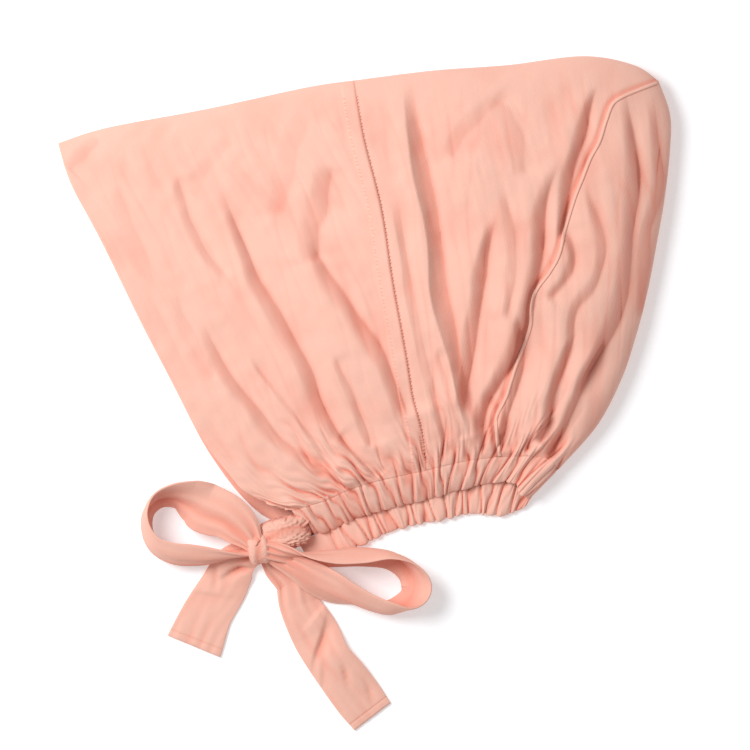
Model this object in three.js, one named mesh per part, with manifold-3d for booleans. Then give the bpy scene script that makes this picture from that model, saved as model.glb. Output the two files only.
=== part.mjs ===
// A jersey underscarf cap that lies on its side: two cloth panels folded over the crown and closed at the back,
// a gathered neck casing, and the two neck ties tied in a bow. Millimetres, +Z up, +X from the face towards the
// back of the head, +Y from the neck towards the crown. It rests on z = 0.
import * as THREE from 'three';
import { mergeVertices } from 'three/addons/utils/BufferGeometryUtils.js';
import Module from 'manifold-3d';

const wasm = await Module();
wasm.setup();

// Driving sizes of the cap as it lies.
const capLength = 330; // front corner of the crown to the back of the head
const capDepth = 264; // crown fold to the lowest point of the neck edge
const lieHeight = 37; // how high the upper side stands over the table
const wall = 1.2; // one layer of jersey
const noseFront = 2.0; // radius of the crown fold at the face
const noseBack = 7.0; // radius of the crown fold and of the back at the head's end
const clothGap = 0.65; // clearance between pieces that are sewn together

// The neck casing and its gathers.
const casingWidth = 16;
const casingThickness = 4;
const gatherCount = 14; // gathers on each side of the neck
const gatherDepth = 0.9; // height of one gather on the panels
const gatherReach = 17; // how far up the panel a gather has faded to a third
const gatherSwell = 0.25; // how much thicker the casing is at a gather, as a share
const scallopDepth = 1.3; // how far a gather pushes out the casing's edge
const casingLean = { front: 0.45, back: -0.6 }; // how far it leans along the cap for each unit it hangs down

// The seam lines stand up a little where the allowances lie under the cloth.
const seamRise = 0.7;
const seamBand = 6;

// The neck ties and their bow.
const tieWidth = 28;
const tieThickness = 2.2;
const leftLoopReach = 64;
const rightLoopReach = 95;
const shortTailReach = 64;
const longTailReach = 107;
const knotSize = { across: 11, along: 20, high: 15, turn: 14 };
const crossingSize = { across: 33, along: 16, high: 14, turn: 12 };
const knotLift = 1.8; // the knot's underside over the table
const knotGap = 0.4; // clearance between the knot and each band that goes into it

const clothColour = '#f6b9a4';

// Plan of the cap. Shares of capLength from the front corner and of capDepth from the lowest neck edge.
const crownFrontLine = [
  [0, 0.824], [0.079, 0.855], [0.242, 0.893], [0.406, 0.937], [0.482, 0.951],
];
const crownBackLine = [
  [0.482, 0.951], [0.611, 0.971], [0.733, 0.982], [0.856, 1], [0.938, 0.982], [0.979, 0.949],
];
const backLine = [
  [0.817, 0.158], [0.879, 0.246], [0.918, 0.338], [0.943, 0.43], [0.962, 0.523], [0.976, 0.615],
  [0.989, 0.707], [0.998, 0.809], [0.998, 0.881], [0.979, 0.949],
];
const seamLine = [
  [0.6, 0.156], [0.592, 0.238], [0.578, 0.305], [0.568, 0.383], [0.545, 0.543], [0.527, 0.689],
  [0.499, 0.83], [0.482, 0.951],
];
const centreBackLine = [
  [0.732, 0.137], [0.714, 0.217], [0.737, 0.316], [0.774, 0.475], [0.817, 0.6], [0.858, 0.754],
  [0.892, 0.87], [0.979, 0.949],
];
const upperSide = {
  faceLine: [
    [0.394, 0.074], [0.345, 0.1], [0.3, 0.133], [0.28, 0.158], [0.237, 0.223], [0.185, 0.342], [0.134, 0.465],
    [0.074, 0.619], [0.023, 0.738], [0, 0.824],
  ],
  neckFront: [[0.394, 0.074], [0.434, 0.098], [0.476, 0.121], [0.527, 0.137], [0.6, 0.156]],
  neckBack: [[0.6, 0.156], [0.66, 0.174], [0.727, 0.184], [0.79, 0.182], [0.817, 0.158]],
};
const lowerSide = {
  faceLine: [
    [0.425, 0.028], [0.38, 0.05], [0.325, 0.09], [0.273, 0.154], [0.237, 0.215], [0.185, 0.338],
    [0.134, 0.461], [0.074, 0.615], [0.023, 0.738], [0, 0.824],
  ],
  neckFront: [[0.425, 0.028], [0.476, 0.061], [0.543, 0.094], [0.6, 0.11]],
  neckBack: [[0.6, 0.11], [0.676, 0.127], [0.748, 0.13], [0.8, 0.14], [0.817, 0.158]],
};

// Height of the upper side at four places from the neck to the crown, as shares of lieHeight.
const lieProfile = [
  { along: 0, neck: 0.4, low: 0.36, middle: 0.34, high: 0.22 },
  { along: 0.25, neck: 0.44, low: 0.52, middle: 0.5, high: 0.4 },
  { along: 0.5, neck: 0.46, low: 0.72, middle: 0.76, high: 0.64 },
  { along: 0.75, neck: 0.48, low: 0.9, middle: 1, high: 0.88 },
  { along: 1, neck: 0.44, low: 0.9, middle: 1, high: 0.95 },
];
const profilePlaces = { neck: 0, low: 0.3, middle: 0.62, high: 1 };
const edgeHeights = { crownFront: 0.09, crownBack: 0.28, backNeck: 0.2 };

// Folds of the upper side, each on a curve from its start over a bend to its end, in shares as the plan's.
// The side towards the face falls over the width steep, and the other side rises over the width gentle.
const folds = [
  { start: [0.06, 0.87], bend: [0.04, 0.81], end: [0.015, 0.775], depth: 1.6, steep: 3, gentle: 4 },
  { start: [0.2, 0.75], bend: [0.215, 0.66], end: [0.262, 0.55], depth: 2, steep: 5, gentle: 8 },
  { start: [0.26, 0.71], bend: [0.33, 0.5], end: [0.44, 0.29], depth: 4.2, steep: 6, gentle: 10 },
  { start: [0.44, 0.31], bend: [0.46, 0.24], end: [0.5, 0.15], depth: 4, steep: 6, gentle: 9 },
  { start: [0.435, 0.74], bend: [0.38, 0.6], end: [0.475, 0.5], depth: 4.5, steep: 6, gentle: 9 },
  { start: [0.46, 0.52], bend: [0.54, 0.38], end: [0.575, 0.2], depth: 4.2, steep: 6, gentle: 9 },
  { start: [0.405, 0.87], bend: [0.37, 0.8], end: [0.36, 0.72], depth: 2, steep: 6, gentle: 8 },
  { start: [0.25, 0.39], bend: [0.33, 0.22], end: [0.45, 0.14], depth: 3.4, steep: 6, gentle: 8 },
  { start: [0.585, 0.93], bend: [0.6, 0.6], end: [0.675, 0.28], depth: 5.5, steep: 6, gentle: 12 },
  { start: [0.7, 0.88], bend: [0.65, 0.85], end: [0.635, 0.76], depth: 2.2, steep: 6, gentle: 8 },
  { start: [0.71, 0.6], bend: [0.69, 0.5], end: [0.695, 0.22], depth: 4.5, steep: 6, gentle: 8 },
  { start: [0.815, 0.76], bend: [0.775, 0.64], end: [0.765, 0.42], depth: 5, steep: 5, gentle: 8 },
  { start: [0.88, 0.92], bend: [0.845, 0.78], end: [0.815, 0.64], depth: 4.5, steep: 5, gentle: 6 },
  { start: [0.925, 0.86], bend: [0.96, 0.66], end: [0.86, 0.36], depth: 5, steep: 5, gentle: 7 },
  { start: [0.86, 0.72], bend: [0.9, 0.62], end: [0.86, 0.52], depth: 2.4, steep: 5, gentle: 6 },
  { start: [0.84, 0.42], bend: [0.8, 0.33], end: [0.755, 0.2], depth: 4, steep: 5, gentle: 7 },
  { start: [0.875, 0.37], bend: [0.83, 0.3], end: [0.795, 0.2], depth: 3.6, steep: 4, gentle: 6 },
];

// Bow. Places are shares of each piece's reach from the knot. Heights, widths and cups are shares of tieWidth:
// the cup is how far the band's middle stands out of its edges. Turns are degrees from flat, so a band turned
// by 90 degrees stands on its edge.
const knotPlace = [0.327, -0.004];
const crossingPlace = [0.376, 0.022];
const leftLoopRows = [
  { x: -0.04, y: 0.05, lift: 0.54, width: 0.28, turn: 0, cup: 0 },
  { x: -0.26, y: 0.26, lift: 0.5, width: 0.72, turn: -25, cup: 0.05 },
  { x: -0.47, y: 0.353, lift: 0.42, width: 0.92, turn: -32, cup: 0.05 },
  { x: -0.675, y: 0.43, lift: 0.38, width: 0.85, turn: -55, cup: 0 },
  { x: -0.864, y: 0.4, lift: 0.36, width: 0.72, turn: -75, cup: -0.12 },
  { x: -0.96, y: 0.25, lift: 0.35, width: 0.66, turn: -88, cup: -0.2 },
  { x: -0.933, y: 0.095, lift: 0.35, width: 0.64, turn: -98, cup: -0.24 },
  { x: -0.81, y: -0.02, lift: 0.35, width: 0.62, turn: -104, cup: -0.26 },
  { x: -0.64, y: -0.05, lift: 0.36, width: 0.6, turn: -106, cup: -0.26 },
  { x: -0.4, y: -0.04, lift: 0.37, width: 0.46, turn: -100, cup: -0.16 },
  { x: -0.07, y: -0.03, lift: 0.36, width: 0.26, turn: -70, cup: 0 },
];
const rightLoopRows = [
  { x: 0.04, y: 0, lift: 0.54, width: 0.28, turn: 0, cup: 0 },
  { x: 0.15, y: -0.03, lift: 0.52, width: 0.36, turn: 40, cup: 0 },
  { x: 0.264, y: -0.056, lift: 0.48, width: 0.5, turn: 70, cup: -0.12 },
  { x: 0.427, y: -0.058, lift: 0.42, width: 0.62, turn: 84, cup: -0.24 },
  { x: 0.6, y: -0.052, lift: 0.38, width: 0.64, turn: 84, cup: -0.26 },
  { x: 0.763, y: -0.058, lift: 0.37, width: 0.64, turn: 84, cup: -0.26 },
  { x: 0.88, y: -0.125, lift: 0.36, width: 0.64, turn: 80, cup: -0.22 },
  { x: 0.948, y: -0.226, lift: 0.36, width: 0.64, turn: 76, cup: -0.16 },
  { x: 0.902, y: -0.307, lift: 0.36, width: 0.66, turn: 84, cup: -0.2 },
  { x: 0.763, y: -0.344, lift: 0.36, width: 0.64, turn: 92, cup: -0.22 },
  { x: 0.6, y: -0.319, lift: 0.35, width: 0.6, turn: 100, cup: -0.16 },
  { x: 0.474, y: -0.25, lift: 0.34, width: 0.55, turn: 115, cup: -0.06 },
  { x: 0.345, y: -0.165, lift: 0.34, width: 0.48, turn: 130, cup: 0 },
  { x: 0.2, y: -0.09, lift: 0.36, width: 0.36, turn: 150, cup: 0 },
  { x: 0.05, y: -0.03, lift: 0.36, width: 0.26, turn: 180, cup: 0 },
];
const shortTailRows = [
  { x: -0.06, y: -0.05, lift: 0.15, width: 0.26, turn: 0, cup: 0 },
  { x: -0.19, y: -0.15, lift: 0.12, width: 0.55, turn: 0, cup: 0.05 },
  { x: -0.365, y: -0.39, lift: 0, width: 0.84, turn: 0, cup: 0 },
  { x: -0.47, y: -0.59, lift: 0, width: 0.98, turn: 0, cup: 0 },
  { x: -0.563, y: -0.84, lift: 0, width: 1.08, turn: 0, cup: 0 },
];
const longTailRows = [
  { x: 0.045, y: -0.025, lift: 0.15, width: 0.25, turn: 0, cup: 0 },
  { x: 0.15, y: -0.14, lift: 0.12, width: 0.6, turn: 6, cup: 0.05 },
  { x: 0.22, y: -0.304, lift: 0, width: 0.88, turn: 0, cup: 0.04 },
  { x: 0.281, y: -0.448, lift: 0, width: 0.96, turn: 0, cup: 0.02 },
  { x: 0.379, y: -0.603, lift: 0.02, width: 0.94, turn: 6, cup: 0.06 },
  { x: 0.482, y: -0.737, lift: 0.02, width: 0.96, turn: 4, cup: 0.02 },
  { x: 0.566, y: -0.852, lift: 0, width: 0.94, turn: 0, cup: 0 },
];

// Mesh densities.
const panelColumns = 30;
const panelRows = 12;
const casingColumns = 168;
const casingSides = 6;
const casingTangentStep = 0.03;
const tieSides = 10;
const loopSteps = 40;
const tailSteps = 18;
const foldSamples = 20;
const lumpSides = 14;
const lumpRows = 10;

// How much closer the rows and columns lie where the cloth turns: 1 is even.
const columnCrowding = 1.4;
const rowCrowding = 1.8;
const casingCrowding = 1.25;

const bandSquareness = 0.6; // how a band's section bulges: 1 is an ellipse, less is squarer
const foldFade = { start: 0.33, end: 0.25 }; // shares of a fold over which it deepens and runs out
const weldDistance = 1e-3;

const mix = THREE.MathUtils.lerp;
const up = new THREE.Vector3(0, 0, 1);
const planPoint = ([x, y]) => new THREE.Vector2(x * capLength, y * capDepth);

// A curve through a plan line, walked by its share of the length.
function planCurve(line) {
  const curve = new THREE.SplineCurve(line.map(planPoint));
  return (share) => curve.getPointAt(THREE.MathUtils.clamp(share, 0, 1));
}

// The value at a share of a row of evenly placed values, on a Catmull-Rom curve.
function smoothValue(values, share) {
  const at = THREE.MathUtils.clamp(share, 0, 1) * (values.length - 1);
  const i = Math.min(Math.floor(at), values.length - 2);
  const t = at - i;
  const [p0, p1, p2, p3] = [i - 1, i, i + 1, i + 2].map(
    (k) => values[THREE.MathUtils.clamp(k, 0, values.length - 1)],
  );
  const slopeIn = (p2 - p0) / 2;
  const slopeOut = (p3 - p1) / 2;
  const bend = 2 * (p1 - p2) + slopeIn + slopeOut;
  return p1 + t * (slopeIn + t * (3 * (p2 - p1) - 2 * slopeIn - slopeOut + t * bend));
}

// The patch between four plan curves: a runs from left to right, b from bottom to top.
function patch(left, right, bottom, top) {
  const corner = [bottom(0), bottom(1), top(0), top(1)];
  return (a, b) => {
    const across = left(b).multiplyScalar(1 - a).addScaledVector(right(b), a);
    const along = bottom(a).multiplyScalar(1 - b).addScaledVector(top(a), b);
    const flat = corner[0].clone().multiplyScalar((1 - a) * (1 - b));
    flat.addScaledVector(corner[1], a * (1 - b));
    flat.addScaledVector(corner[2], (1 - a) * b).addScaledVector(corner[3], a * b);
    return across.add(along).sub(flat);
  };
}

// How far a place is from a line of plan points: its distance, signed by the side, and its share of the line.
function offsetFrom(points, place) {
  let best = { distance: Infinity, share: 0 };
  for (let i = 0; i < points.length - 1; i++) {
    const step = points[i + 1].clone().sub(points[i]);
    const away = place.clone().sub(points[i]);
    const t = THREE.MathUtils.clamp(away.dot(step) / step.lengthSq(), 0, 1);
    const gap = away.clone().addScaledVector(step, -t).length();
    if (gap < Math.abs(best.distance)) {
      const side = Math.sign(step.x * away.y - step.y * away.x) || 1;
      best = { distance: side * gap, share: (i + t) / (points.length - 1) };
    }
  }
  return best;
}

const foldLines = folds.map(({ start, bend, end }) =>
  new THREE.QuadraticBezierCurve(planPoint(start), planPoint(bend), planPoint(end)).getPoints(foldSamples),
);
const centreBackPoints = new THREE.SplineCurve(centreBackLine.map(planPoint)).getPoints(4 * foldSamples);
const seamPoints = new THREE.SplineCurve(seamLine.map(planPoint)).getPoints(2 * foldSamples);

// How far the folds take the upper side down at a place of the plan.
function foldDrop(place) {
  return folds.reduce((drop, fold, i) => {
    const { distance, share } = offsetFrom(foldLines[i], place);
    const width = distance > 0 ? fold.gentle : fold.steep;
    const fade = Math.min(1, share / foldFade.start) * Math.min(1, (1 - share) / foldFade.end);
    return drop + fold.depth * fade * Math.exp(-((distance / width) ** 2));
  }, 0);
}

// A seam's allowance raises a rounded band on the face side of its line.
function seamLift(points, place) {
  const { distance } = offsetFrom(points, place);
  const half = seamBand / 2;
  return seamRise * Math.exp(-(((distance - half) / half) ** 2));
}

// Height of the upper side before folds, from the place along the cap and up its side.
function lieAt(along, b) {
  const column = (place) => smoothValue(lieProfile.map((row) => row[place]), along);
  const places = Object.keys(profilePlaces);
  const i = Math.max(1, places.findIndex((place) => profilePlaces[place] >= b));
  const [from, to] = [places[i - 1], places[i]];
  const t = (b - profilePlaces[from]) / (profilePlaces[to] - profilePlaces[from]);
  return lieHeight * mix(column(from), column(to), t * t * (3 - 2 * t));
}

// Height of the folded edge that both sides share, along the crown and down the back.
function edgeAt(along, b, toBack) {
  const crown = mix(edgeHeights.crownFront, edgeHeights.crownBack, along);
  return lieHeight * (crown - toBack * (1 - b) * (edgeHeights.crownBack - edgeHeights.backNeck));
}

// A gather's wave at a share of the neck: 0 at the upper side's front end, 1 at the back, 2 at the lower's.
const gatherWave = (share) => Math.cos(2 * Math.PI * gatherCount * share);

// The share of its full height that a surface has at a distance from a folded edge with the given nose radius.
function risen(distance, height, nose) {
  const t = Math.min(1, (distance * nose) / height ** 2);
  return Math.sqrt(t * (2 - t));
}

// The seam's line on one side of the cap, moved by a clearance along the cap.
function seamCurve(side, shift) {
  const line = planCurve([side.neckFront.at(-1), ...seamLine.slice(1)]);
  return (share) => line(share).add(new THREE.Vector2(shift, 0));
}

// One side of a panel as a grid of points. front says which panel, and upper which side.
function panelSide(front, upper) {
  const side = upper ? upperSide : lowerSide;
  const left = front ? planCurve(side.faceLine) : seamCurve(side, clothGap / 2);
  const right = front ? seamCurve(side, -clothGap / 2) : planCurve(backLine);
  const bottom = planCurve(front ? side.neckFront : side.neckBack);
  const top = planCurve(front ? crownFrontLine : crownBackLine);
  const plan = patch(left, right, bottom, top);
  const grid = [];
  for (let i = 0; i <= panelColumns; i++) {
    const even = i / panelColumns;
    const a = front ? even : 1 - (1 - even) ** columnCrowding;
    const depth = top(a).distanceTo(bottom(a));
    const column = [];
    for (let j = 0; j <= panelRows; j++) {
      const b = 1 - (1 - j / panelRows) ** rowCrowding;
      const width = left(b).distanceTo(right(b));
      column.push(lifted(plan(a, b), { front, upper, a, b, depth, width }));
    }
    grid.push(column);
  }
  return grid;
}

// A plan place lifted to the surface of its side.
function lifted(place, { front, upper, a, b, depth, width }) {
  const along = (front ? a : 1 + a) / 2;
  const nose = mix(noseFront, noseBack, along);
  const edge = edgeAt(along, b, front ? 0 : a);
  const full = upper ? lieAt(along, b) : 0;
  const height = Math.max(Math.abs(full - edge), nose);
  let share = risen((1 - b) * depth, height, nose);
  if (!front) share *= risen((1 - a) * width, height, nose);
  const gather = gatherDepth * gatherWave(along) * Math.exp((-b * depth) / gatherReach);
  let z = mix(edge, full, share);
  if (upper) z += share * (gather - foldDrop(place));
  if (upper && front) z += share * seamLift(seamPoints, place);
  if (upper && !front) z += share * seamLift(centreBackPoints, place);
  if (!upper) z += share * Math.max(0, gather);
  return new THREE.Vector3(place.x, place.y, Math.max(0, z));
}

// A closed solid from a sheet of vertices and triangles that face out: the sheet, its inner face and its rims.
function thickened(positions, triangles) {
  const sheet = new THREE.BufferGeometry();
  sheet.setAttribute('position', new THREE.Float32BufferAttribute(positions, 3));
  sheet.setIndex(triangles);
  const merged = mergeVertices(sheet, weldDistance);
  merged.computeVertexNormals();
  const { position, normal } = merged.attributes;
  const index = Array.from(merged.index.array);
  const faces = [];
  for (let i = 0; i < index.length; i += 3) {
    const face = index.slice(i, i + 3);
    if (new Set(face).size === 3) faces.push(face);
  }
  const count = position.count;
  const points = [];
  for (const inset of [0, wall]) {
    for (let i = 0; i < count; i++) {
      const point = new THREE.Vector3().fromBufferAttribute(position, i);
      const out = new THREE.Vector3().fromBufferAttribute(normal, i);
      point.addScaledVector(out, -inset);
      if (inset > 0) point.z = Math.max(point.z, wall);
      points.push(point.x, point.y, point.z);
    }
  }
  const directed = new Set(faces.flatMap(([p, q, r]) => [`${p} ${q}`, `${q} ${r}`, `${r} ${p}`]));
  const solid = faces.flatMap(([p, q, r]) => [p, q, r, r + count, q + count, p + count]);
  for (const edge of directed) {
    const [p, q] = edge.split(' ').map(Number);
    if (directed.has(`${q} ${p}`)) continue;
    solid.push(q, p, p + count, q, p + count, q + count);
  }
  return solidOf(points, solid);
}

// The sheet of one panel, upper and lower side joined along the crown and, on the back panel, down the back.
function panelSolid(front) {
  const positions = [];
  const triangles = [];
  for (const upper of [true, false]) {
    const grid = panelSide(front, upper);
    const base = positions.length / 3;
    const at = (i, j) => base + i * (panelRows + 1) + j;
    grid.flat().forEach((point) => positions.push(point.x, point.y, point.z));
    for (let i = 0; i < panelColumns; i++) {
      for (let j = 0; j < panelRows; j++) {
        const quad = [at(i, j), at(i + 1, j), at(i + 1, j + 1), at(i, j + 1)];
        if (!upper) quad.reverse();
        triangles.push(quad[0], quad[1], quad[2], quad[0], quad[2], quad[3]);
      }
    }
  }
  return thickened(positions, triangles);
}

function solidOf(points, triangles) {
  return new wasm.Manifold(
    new wasm.Mesh({
      numProp: 3,
      vertProperties: new Float32Array(points),
      triVerts: new Uint32Array(triangles),
    }),
  );
}

// A closed solid through rings of points that all have as many points, with both ends capped.
function lofted(rings) {
  const sides = rings[0].length;
  const points = rings.flat().flatMap((point) => [point.x, point.y, Math.max(0, point.z)]);
  const triangles = [];
  for (let i = 0; i < rings.length - 1; i++) {
    for (let k = 0; k < sides; k++) {
      const next = (k + 1) % sides;
      const [p, q, r, s] = [i * sides + k, i * sides + next, (i + 1) * sides + next, (i + 1) * sides + k];
      triangles.push(p, q, r, p, r, s);
    }
  }
  const last = (rings.length - 1) * sides;
  for (let k = 1; k < sides - 1; k++) {
    triangles.push(0, k + 1, k, last, last + k, last + k + 1);
  }
  const solid = solidOf(points, triangles);
  return solid.volume() > 0 ? solid : solidOf(points, triangles.reverse());
}

// A ring round a band, from its middle, its two half sizes and their directions, and how far it is cupped.
function bandRing(middle, across, halfWidth, out, halfThickness, cup, sides) {
  return Array.from({ length: sides }, (_, k) => {
    const angle = (2 * Math.PI * (k + 0.5)) / sides;
    const u = Math.cos(angle) / Math.cos(Math.PI / sides);
    const bulge = Math.sign(Math.sin(angle)) * Math.abs(Math.sin(angle)) ** bandSquareness;
    return middle
      .clone()
      .addScaledVector(across, halfWidth * u)
      .addScaledVector(out, halfThickness * bulge + cup * (0.5 - u * u));
  });
}

// The casing runs round the neck: along the upper side's neck edge, round the back and along the lower side's.
function casingSolid() {
  const neck = [upperSide, lowerSide].map((side) => [planCurve(side.neckFront), planCurve(side.neckBack)]);
  const seamAt = (share) => {
    const upper = share <= 1;
    const along = upper ? share : 2 - share;
    const front = along < 0.5;
    const a = front ? 2 * along : 2 * along - 1;
    const line = neck[upper ? 0 : 1][front ? 0 : 1];
    const width = line(0).distanceTo(line(1));
    const top = planCurve(front ? crownFrontLine : crownBackLine);
    const depth = top(a).distanceTo(line(a));
    const edge = lifted(line(a), { front, upper, a, b: 0, depth, width });
    edge.z += (casingThickness / 2) * (upper ? -1 : 1) * Math.min(1, ((1 - along) * width) / noseBack);
    return edge;
  };
  const rings = [];
  for (let i = 0; i <= casingColumns; i++) {
    const even = (2 * i) / casingColumns - 1;
    const share = 1 + Math.sign(even) * Math.abs(even) ** casingCrowding;
    const along = share <= 1 ? share : 2 - share;
    const before = seamAt(Math.max(0, share - casingTangentStep));
    const tangent = seamAt(Math.min(2, share + casingTangentStep)).sub(before).normalize();
    const down = new THREE.Vector3(mix(casingLean.front, casingLean.back, along), -1, 0);
    down.addScaledVector(tangent, -down.dot(tangent)).normalize();
    const out = new THREE.Vector3().crossVectors(down, tangent).normalize();
    const wave = gatherWave(share);
    const width = casingWidth - clothGap + scallopDepth * wave;
    const middle = seamAt(share).addScaledVector(down, clothGap + width / 2);
    const half = (casingThickness / 2) * (1 + gatherSwell * wave);
    middle.z = Math.max(middle.z, half);
    rings.push(bandRing(middle, down, width / 2, out, half, 0, casingSides));
  }
  return lofted(rings);
}

// A tie's band through a table of rows, in shares of its reach from the knot.
function tieSolid(rows, reach, knot, steps) {
  const path = new THREE.CatmullRomCurve3(
    rows.map((row) => new THREE.Vector3(knot.x + row.x * reach, knot.y + row.y * reach, row.lift * tieWidth)),
    false,
    'centripetal',
  );
  const column = (name, share) => smoothValue(rows.map((row) => row[name]), share);
  const rings = [];
  for (let i = 0; i <= steps; i++) {
    const share = i / steps;
    const turn = THREE.MathUtils.degToRad(column('turn', share));
    const width = column('width', share) * tieWidth;
    const tangent = path.getTangent(share);
    const aside = new THREE.Vector3().crossVectors(up, tangent).normalize();
    const above = new THREE.Vector3().crossVectors(tangent, aside);
    const across = aside.clone().multiplyScalar(Math.cos(turn)).addScaledVector(above, Math.sin(turn));
    const out = above.clone().multiplyScalar(Math.cos(turn)).addScaledVector(aside, -Math.sin(turn));
    const middle = path.getPoint(share);
    const cup = column('cup', share) * tieWidth;
    const level = (tieThickness + Math.abs(cup)) * Math.cos(turn) ** 2;
    const reachDown = (width * Math.abs(Math.sin(turn)) + level) / 2;
    middle.z = Math.max(middle.z, reachDown);
    rings.push(bandRing(middle, across, width / 2, out, tieThickness / 2, cup, tieSides));
  }
  return lofted(rings);
}

// A rounded lump of bunched cloth, grown by a clearance where a neighbour has to keep off it.
function lump(place, size, grow) {
  const middle = planPoint(place);
  const ball = new THREE.SphereGeometry(1, lumpSides, lumpRows);
  ball.rotateX(Math.PI / 2);
  ball.scale(size.across / 2 + grow, size.along / 2 + grow, size.high / 2 + grow);
  ball.rotateZ(THREE.MathUtils.degToRad(size.turn));
  ball.translate(middle.x, middle.y, knotLift + size.high / 2);
  ball.deleteAttribute('normal');
  ball.deleteAttribute('uv');
  const merged = mergeVertices(ball, weldDistance);
  return solidOf(Array.from(merged.attributes.position.array), Array.from(merged.index.array));
}

// What is left of a solid clear of its neighbours, as its largest piece.
function clearOf(solid, ...neighbours) {
  const cut = neighbours.reduce((rest, neighbour) => rest.subtract(neighbour), solid);
  return cut.decompose().sort((p, q) => q.volume() - p.volume())[0];
}

const knot = lump(knotPlace, knotSize, 0);
const knotRoom = lump(knotPlace, knotSize, knotGap);
const crossing = lump(crossingPlace, crossingSize, 0);
const crossingRoom = lump(crossingPlace, crossingSize, knotGap);
const knotMiddle = planPoint(knotPlace);

const cloth = new THREE.MeshStandardMaterial({ color: clothColour, roughness: 0.85, metalness: 0 });
const cap = new THREE.Group();

function addPiece(name, solid) {
  const { vertProperties, triVerts } = solid.getMesh();
  const geometry = new THREE.BufferGeometry();
  geometry.setAttribute('position', new THREE.BufferAttribute(vertProperties, 3));
  geometry.setIndex(new THREE.BufferAttribute(triVerts, 1));
  geometry.computeVertexNormals();
  const mesh = new THREE.Mesh(geometry, cloth.clone());
  mesh.name = name;
  cap.add(mesh);
}

addPiece('front_panel', clearOf(panelSolid(true), knotRoom, crossingRoom));
addPiece('back_panel', panelSolid(false));
addPiece('neck_casing', clearOf(casingSolid(), knotRoom, crossingRoom));
addPiece('tie_crossing', clearOf(crossing, knotRoom));
addPiece('bow_knot', knot);
const ties = [
  ['left_loop', leftLoopRows, leftLoopReach, loopSteps],
  ['right_loop', rightLoopRows, rightLoopReach, loopSteps],
  ['short_tail', shortTailRows, shortTailReach, tailSteps],
  ['long_tail', longTailRows, longTailReach, tailSteps],
];
for (const [name, rows, reach, steps] of ties) {
  addPiece(name, clearOf(tieSolid(rows, reach, knotMiddle, steps), knotRoom, crossingRoom));
}

// The origin is the middle of the footprint, on the table.
const box = new THREE.Box3().setFromObject(cap);
cap.position.set(-(box.min.x + box.max.x) / 2, -(box.min.y + box.max.y) / 2, -box.min.z);

export default cap;
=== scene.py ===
"""A peach jersey underscarf cap on its side, with its neck ties in a bow. Metres, in the part's frame."""

import math

import bpy
import numpy as np
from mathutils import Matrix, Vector


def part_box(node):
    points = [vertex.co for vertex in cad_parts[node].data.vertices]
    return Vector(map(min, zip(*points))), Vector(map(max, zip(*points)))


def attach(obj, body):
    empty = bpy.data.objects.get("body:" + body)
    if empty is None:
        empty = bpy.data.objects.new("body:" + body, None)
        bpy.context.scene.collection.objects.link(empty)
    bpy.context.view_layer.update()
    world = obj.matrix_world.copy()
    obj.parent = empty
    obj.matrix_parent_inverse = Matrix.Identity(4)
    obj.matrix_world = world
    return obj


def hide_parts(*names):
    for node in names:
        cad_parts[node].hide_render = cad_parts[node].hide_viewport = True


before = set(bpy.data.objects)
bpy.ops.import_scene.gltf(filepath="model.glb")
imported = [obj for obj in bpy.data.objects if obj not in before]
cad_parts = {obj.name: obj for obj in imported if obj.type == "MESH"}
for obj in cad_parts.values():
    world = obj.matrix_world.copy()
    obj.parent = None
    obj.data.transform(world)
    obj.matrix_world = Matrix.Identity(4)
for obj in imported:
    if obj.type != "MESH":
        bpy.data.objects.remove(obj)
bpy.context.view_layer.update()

# Front panel
# The smooth front half of the cap: one piece of fine cotton jersey, folded over the crown so that its upper
# and lower sides lie on each other. Its face edge is free, its other side is sewn to the back panel, and
# its neck edge is gathered into the casing.

MM = 0.001
CAP_LENGTH = 330 * MM
CAP_DEPTH = 264 * MM
LIE_HEIGHT = 37 * MM
WALL = 1.2 * MM
NOSE_FRONT = 2 * MM
NOSE_BACK = 7 * MM
SEW_GAP = 0.3 * MM
front_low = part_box("front_panel")[0]
back_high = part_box("back_panel")[1]
PLAN_CORNER = np.array([front_low.x, back_high.y - CAP_DEPTH])

# Plan lines. Their points are shares of the cap's length from its front corner, and of its depth from the
# lowest neck edge.
CROWN_FRONT = [(0, 0.824), (0.079, 0.855), (0.242, 0.893), (0.406, 0.937), (0.482, 0.951)]
CROWN_BACK = [(0.482, 0.951), (0.611, 0.971), (0.733, 0.982), (0.856, 1), (0.938, 0.982), (0.979, 0.949)]
BACK = [
    (0.817, 0.158), (0.879, 0.246), (0.918, 0.338), (0.943, 0.43), (0.962, 0.523), (0.976, 0.615),
    (0.989, 0.707), (0.998, 0.809), (0.998, 0.881), (0.979, 0.949),
]
SIDE_SEAM = [
    (0.592, 0.238), (0.578, 0.305), (0.568, 0.383), (0.545, 0.543), (0.527, 0.689), (0.499, 0.83),
    (0.482, 0.951),
]
UPPER = {
    "face": [
        (0.381, 0.074), (0.345, 0.089), (0.306, 0.113), (0.277, 0.152), (0.237, 0.22), (0.185, 0.342),
        (0.134, 0.465), (0.074, 0.619), (0.023, 0.738), (0, 0.824),
    ],
    "neck_front": [(0.381, 0.074), (0.434, 0.094), (0.476, 0.117), (0.527, 0.136), (0.6, 0.156)],
    "neck_back": [(0.6, 0.156), (0.66, 0.174), (0.727, 0.184), (0.79, 0.182), (0.817, 0.158)],
}
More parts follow.
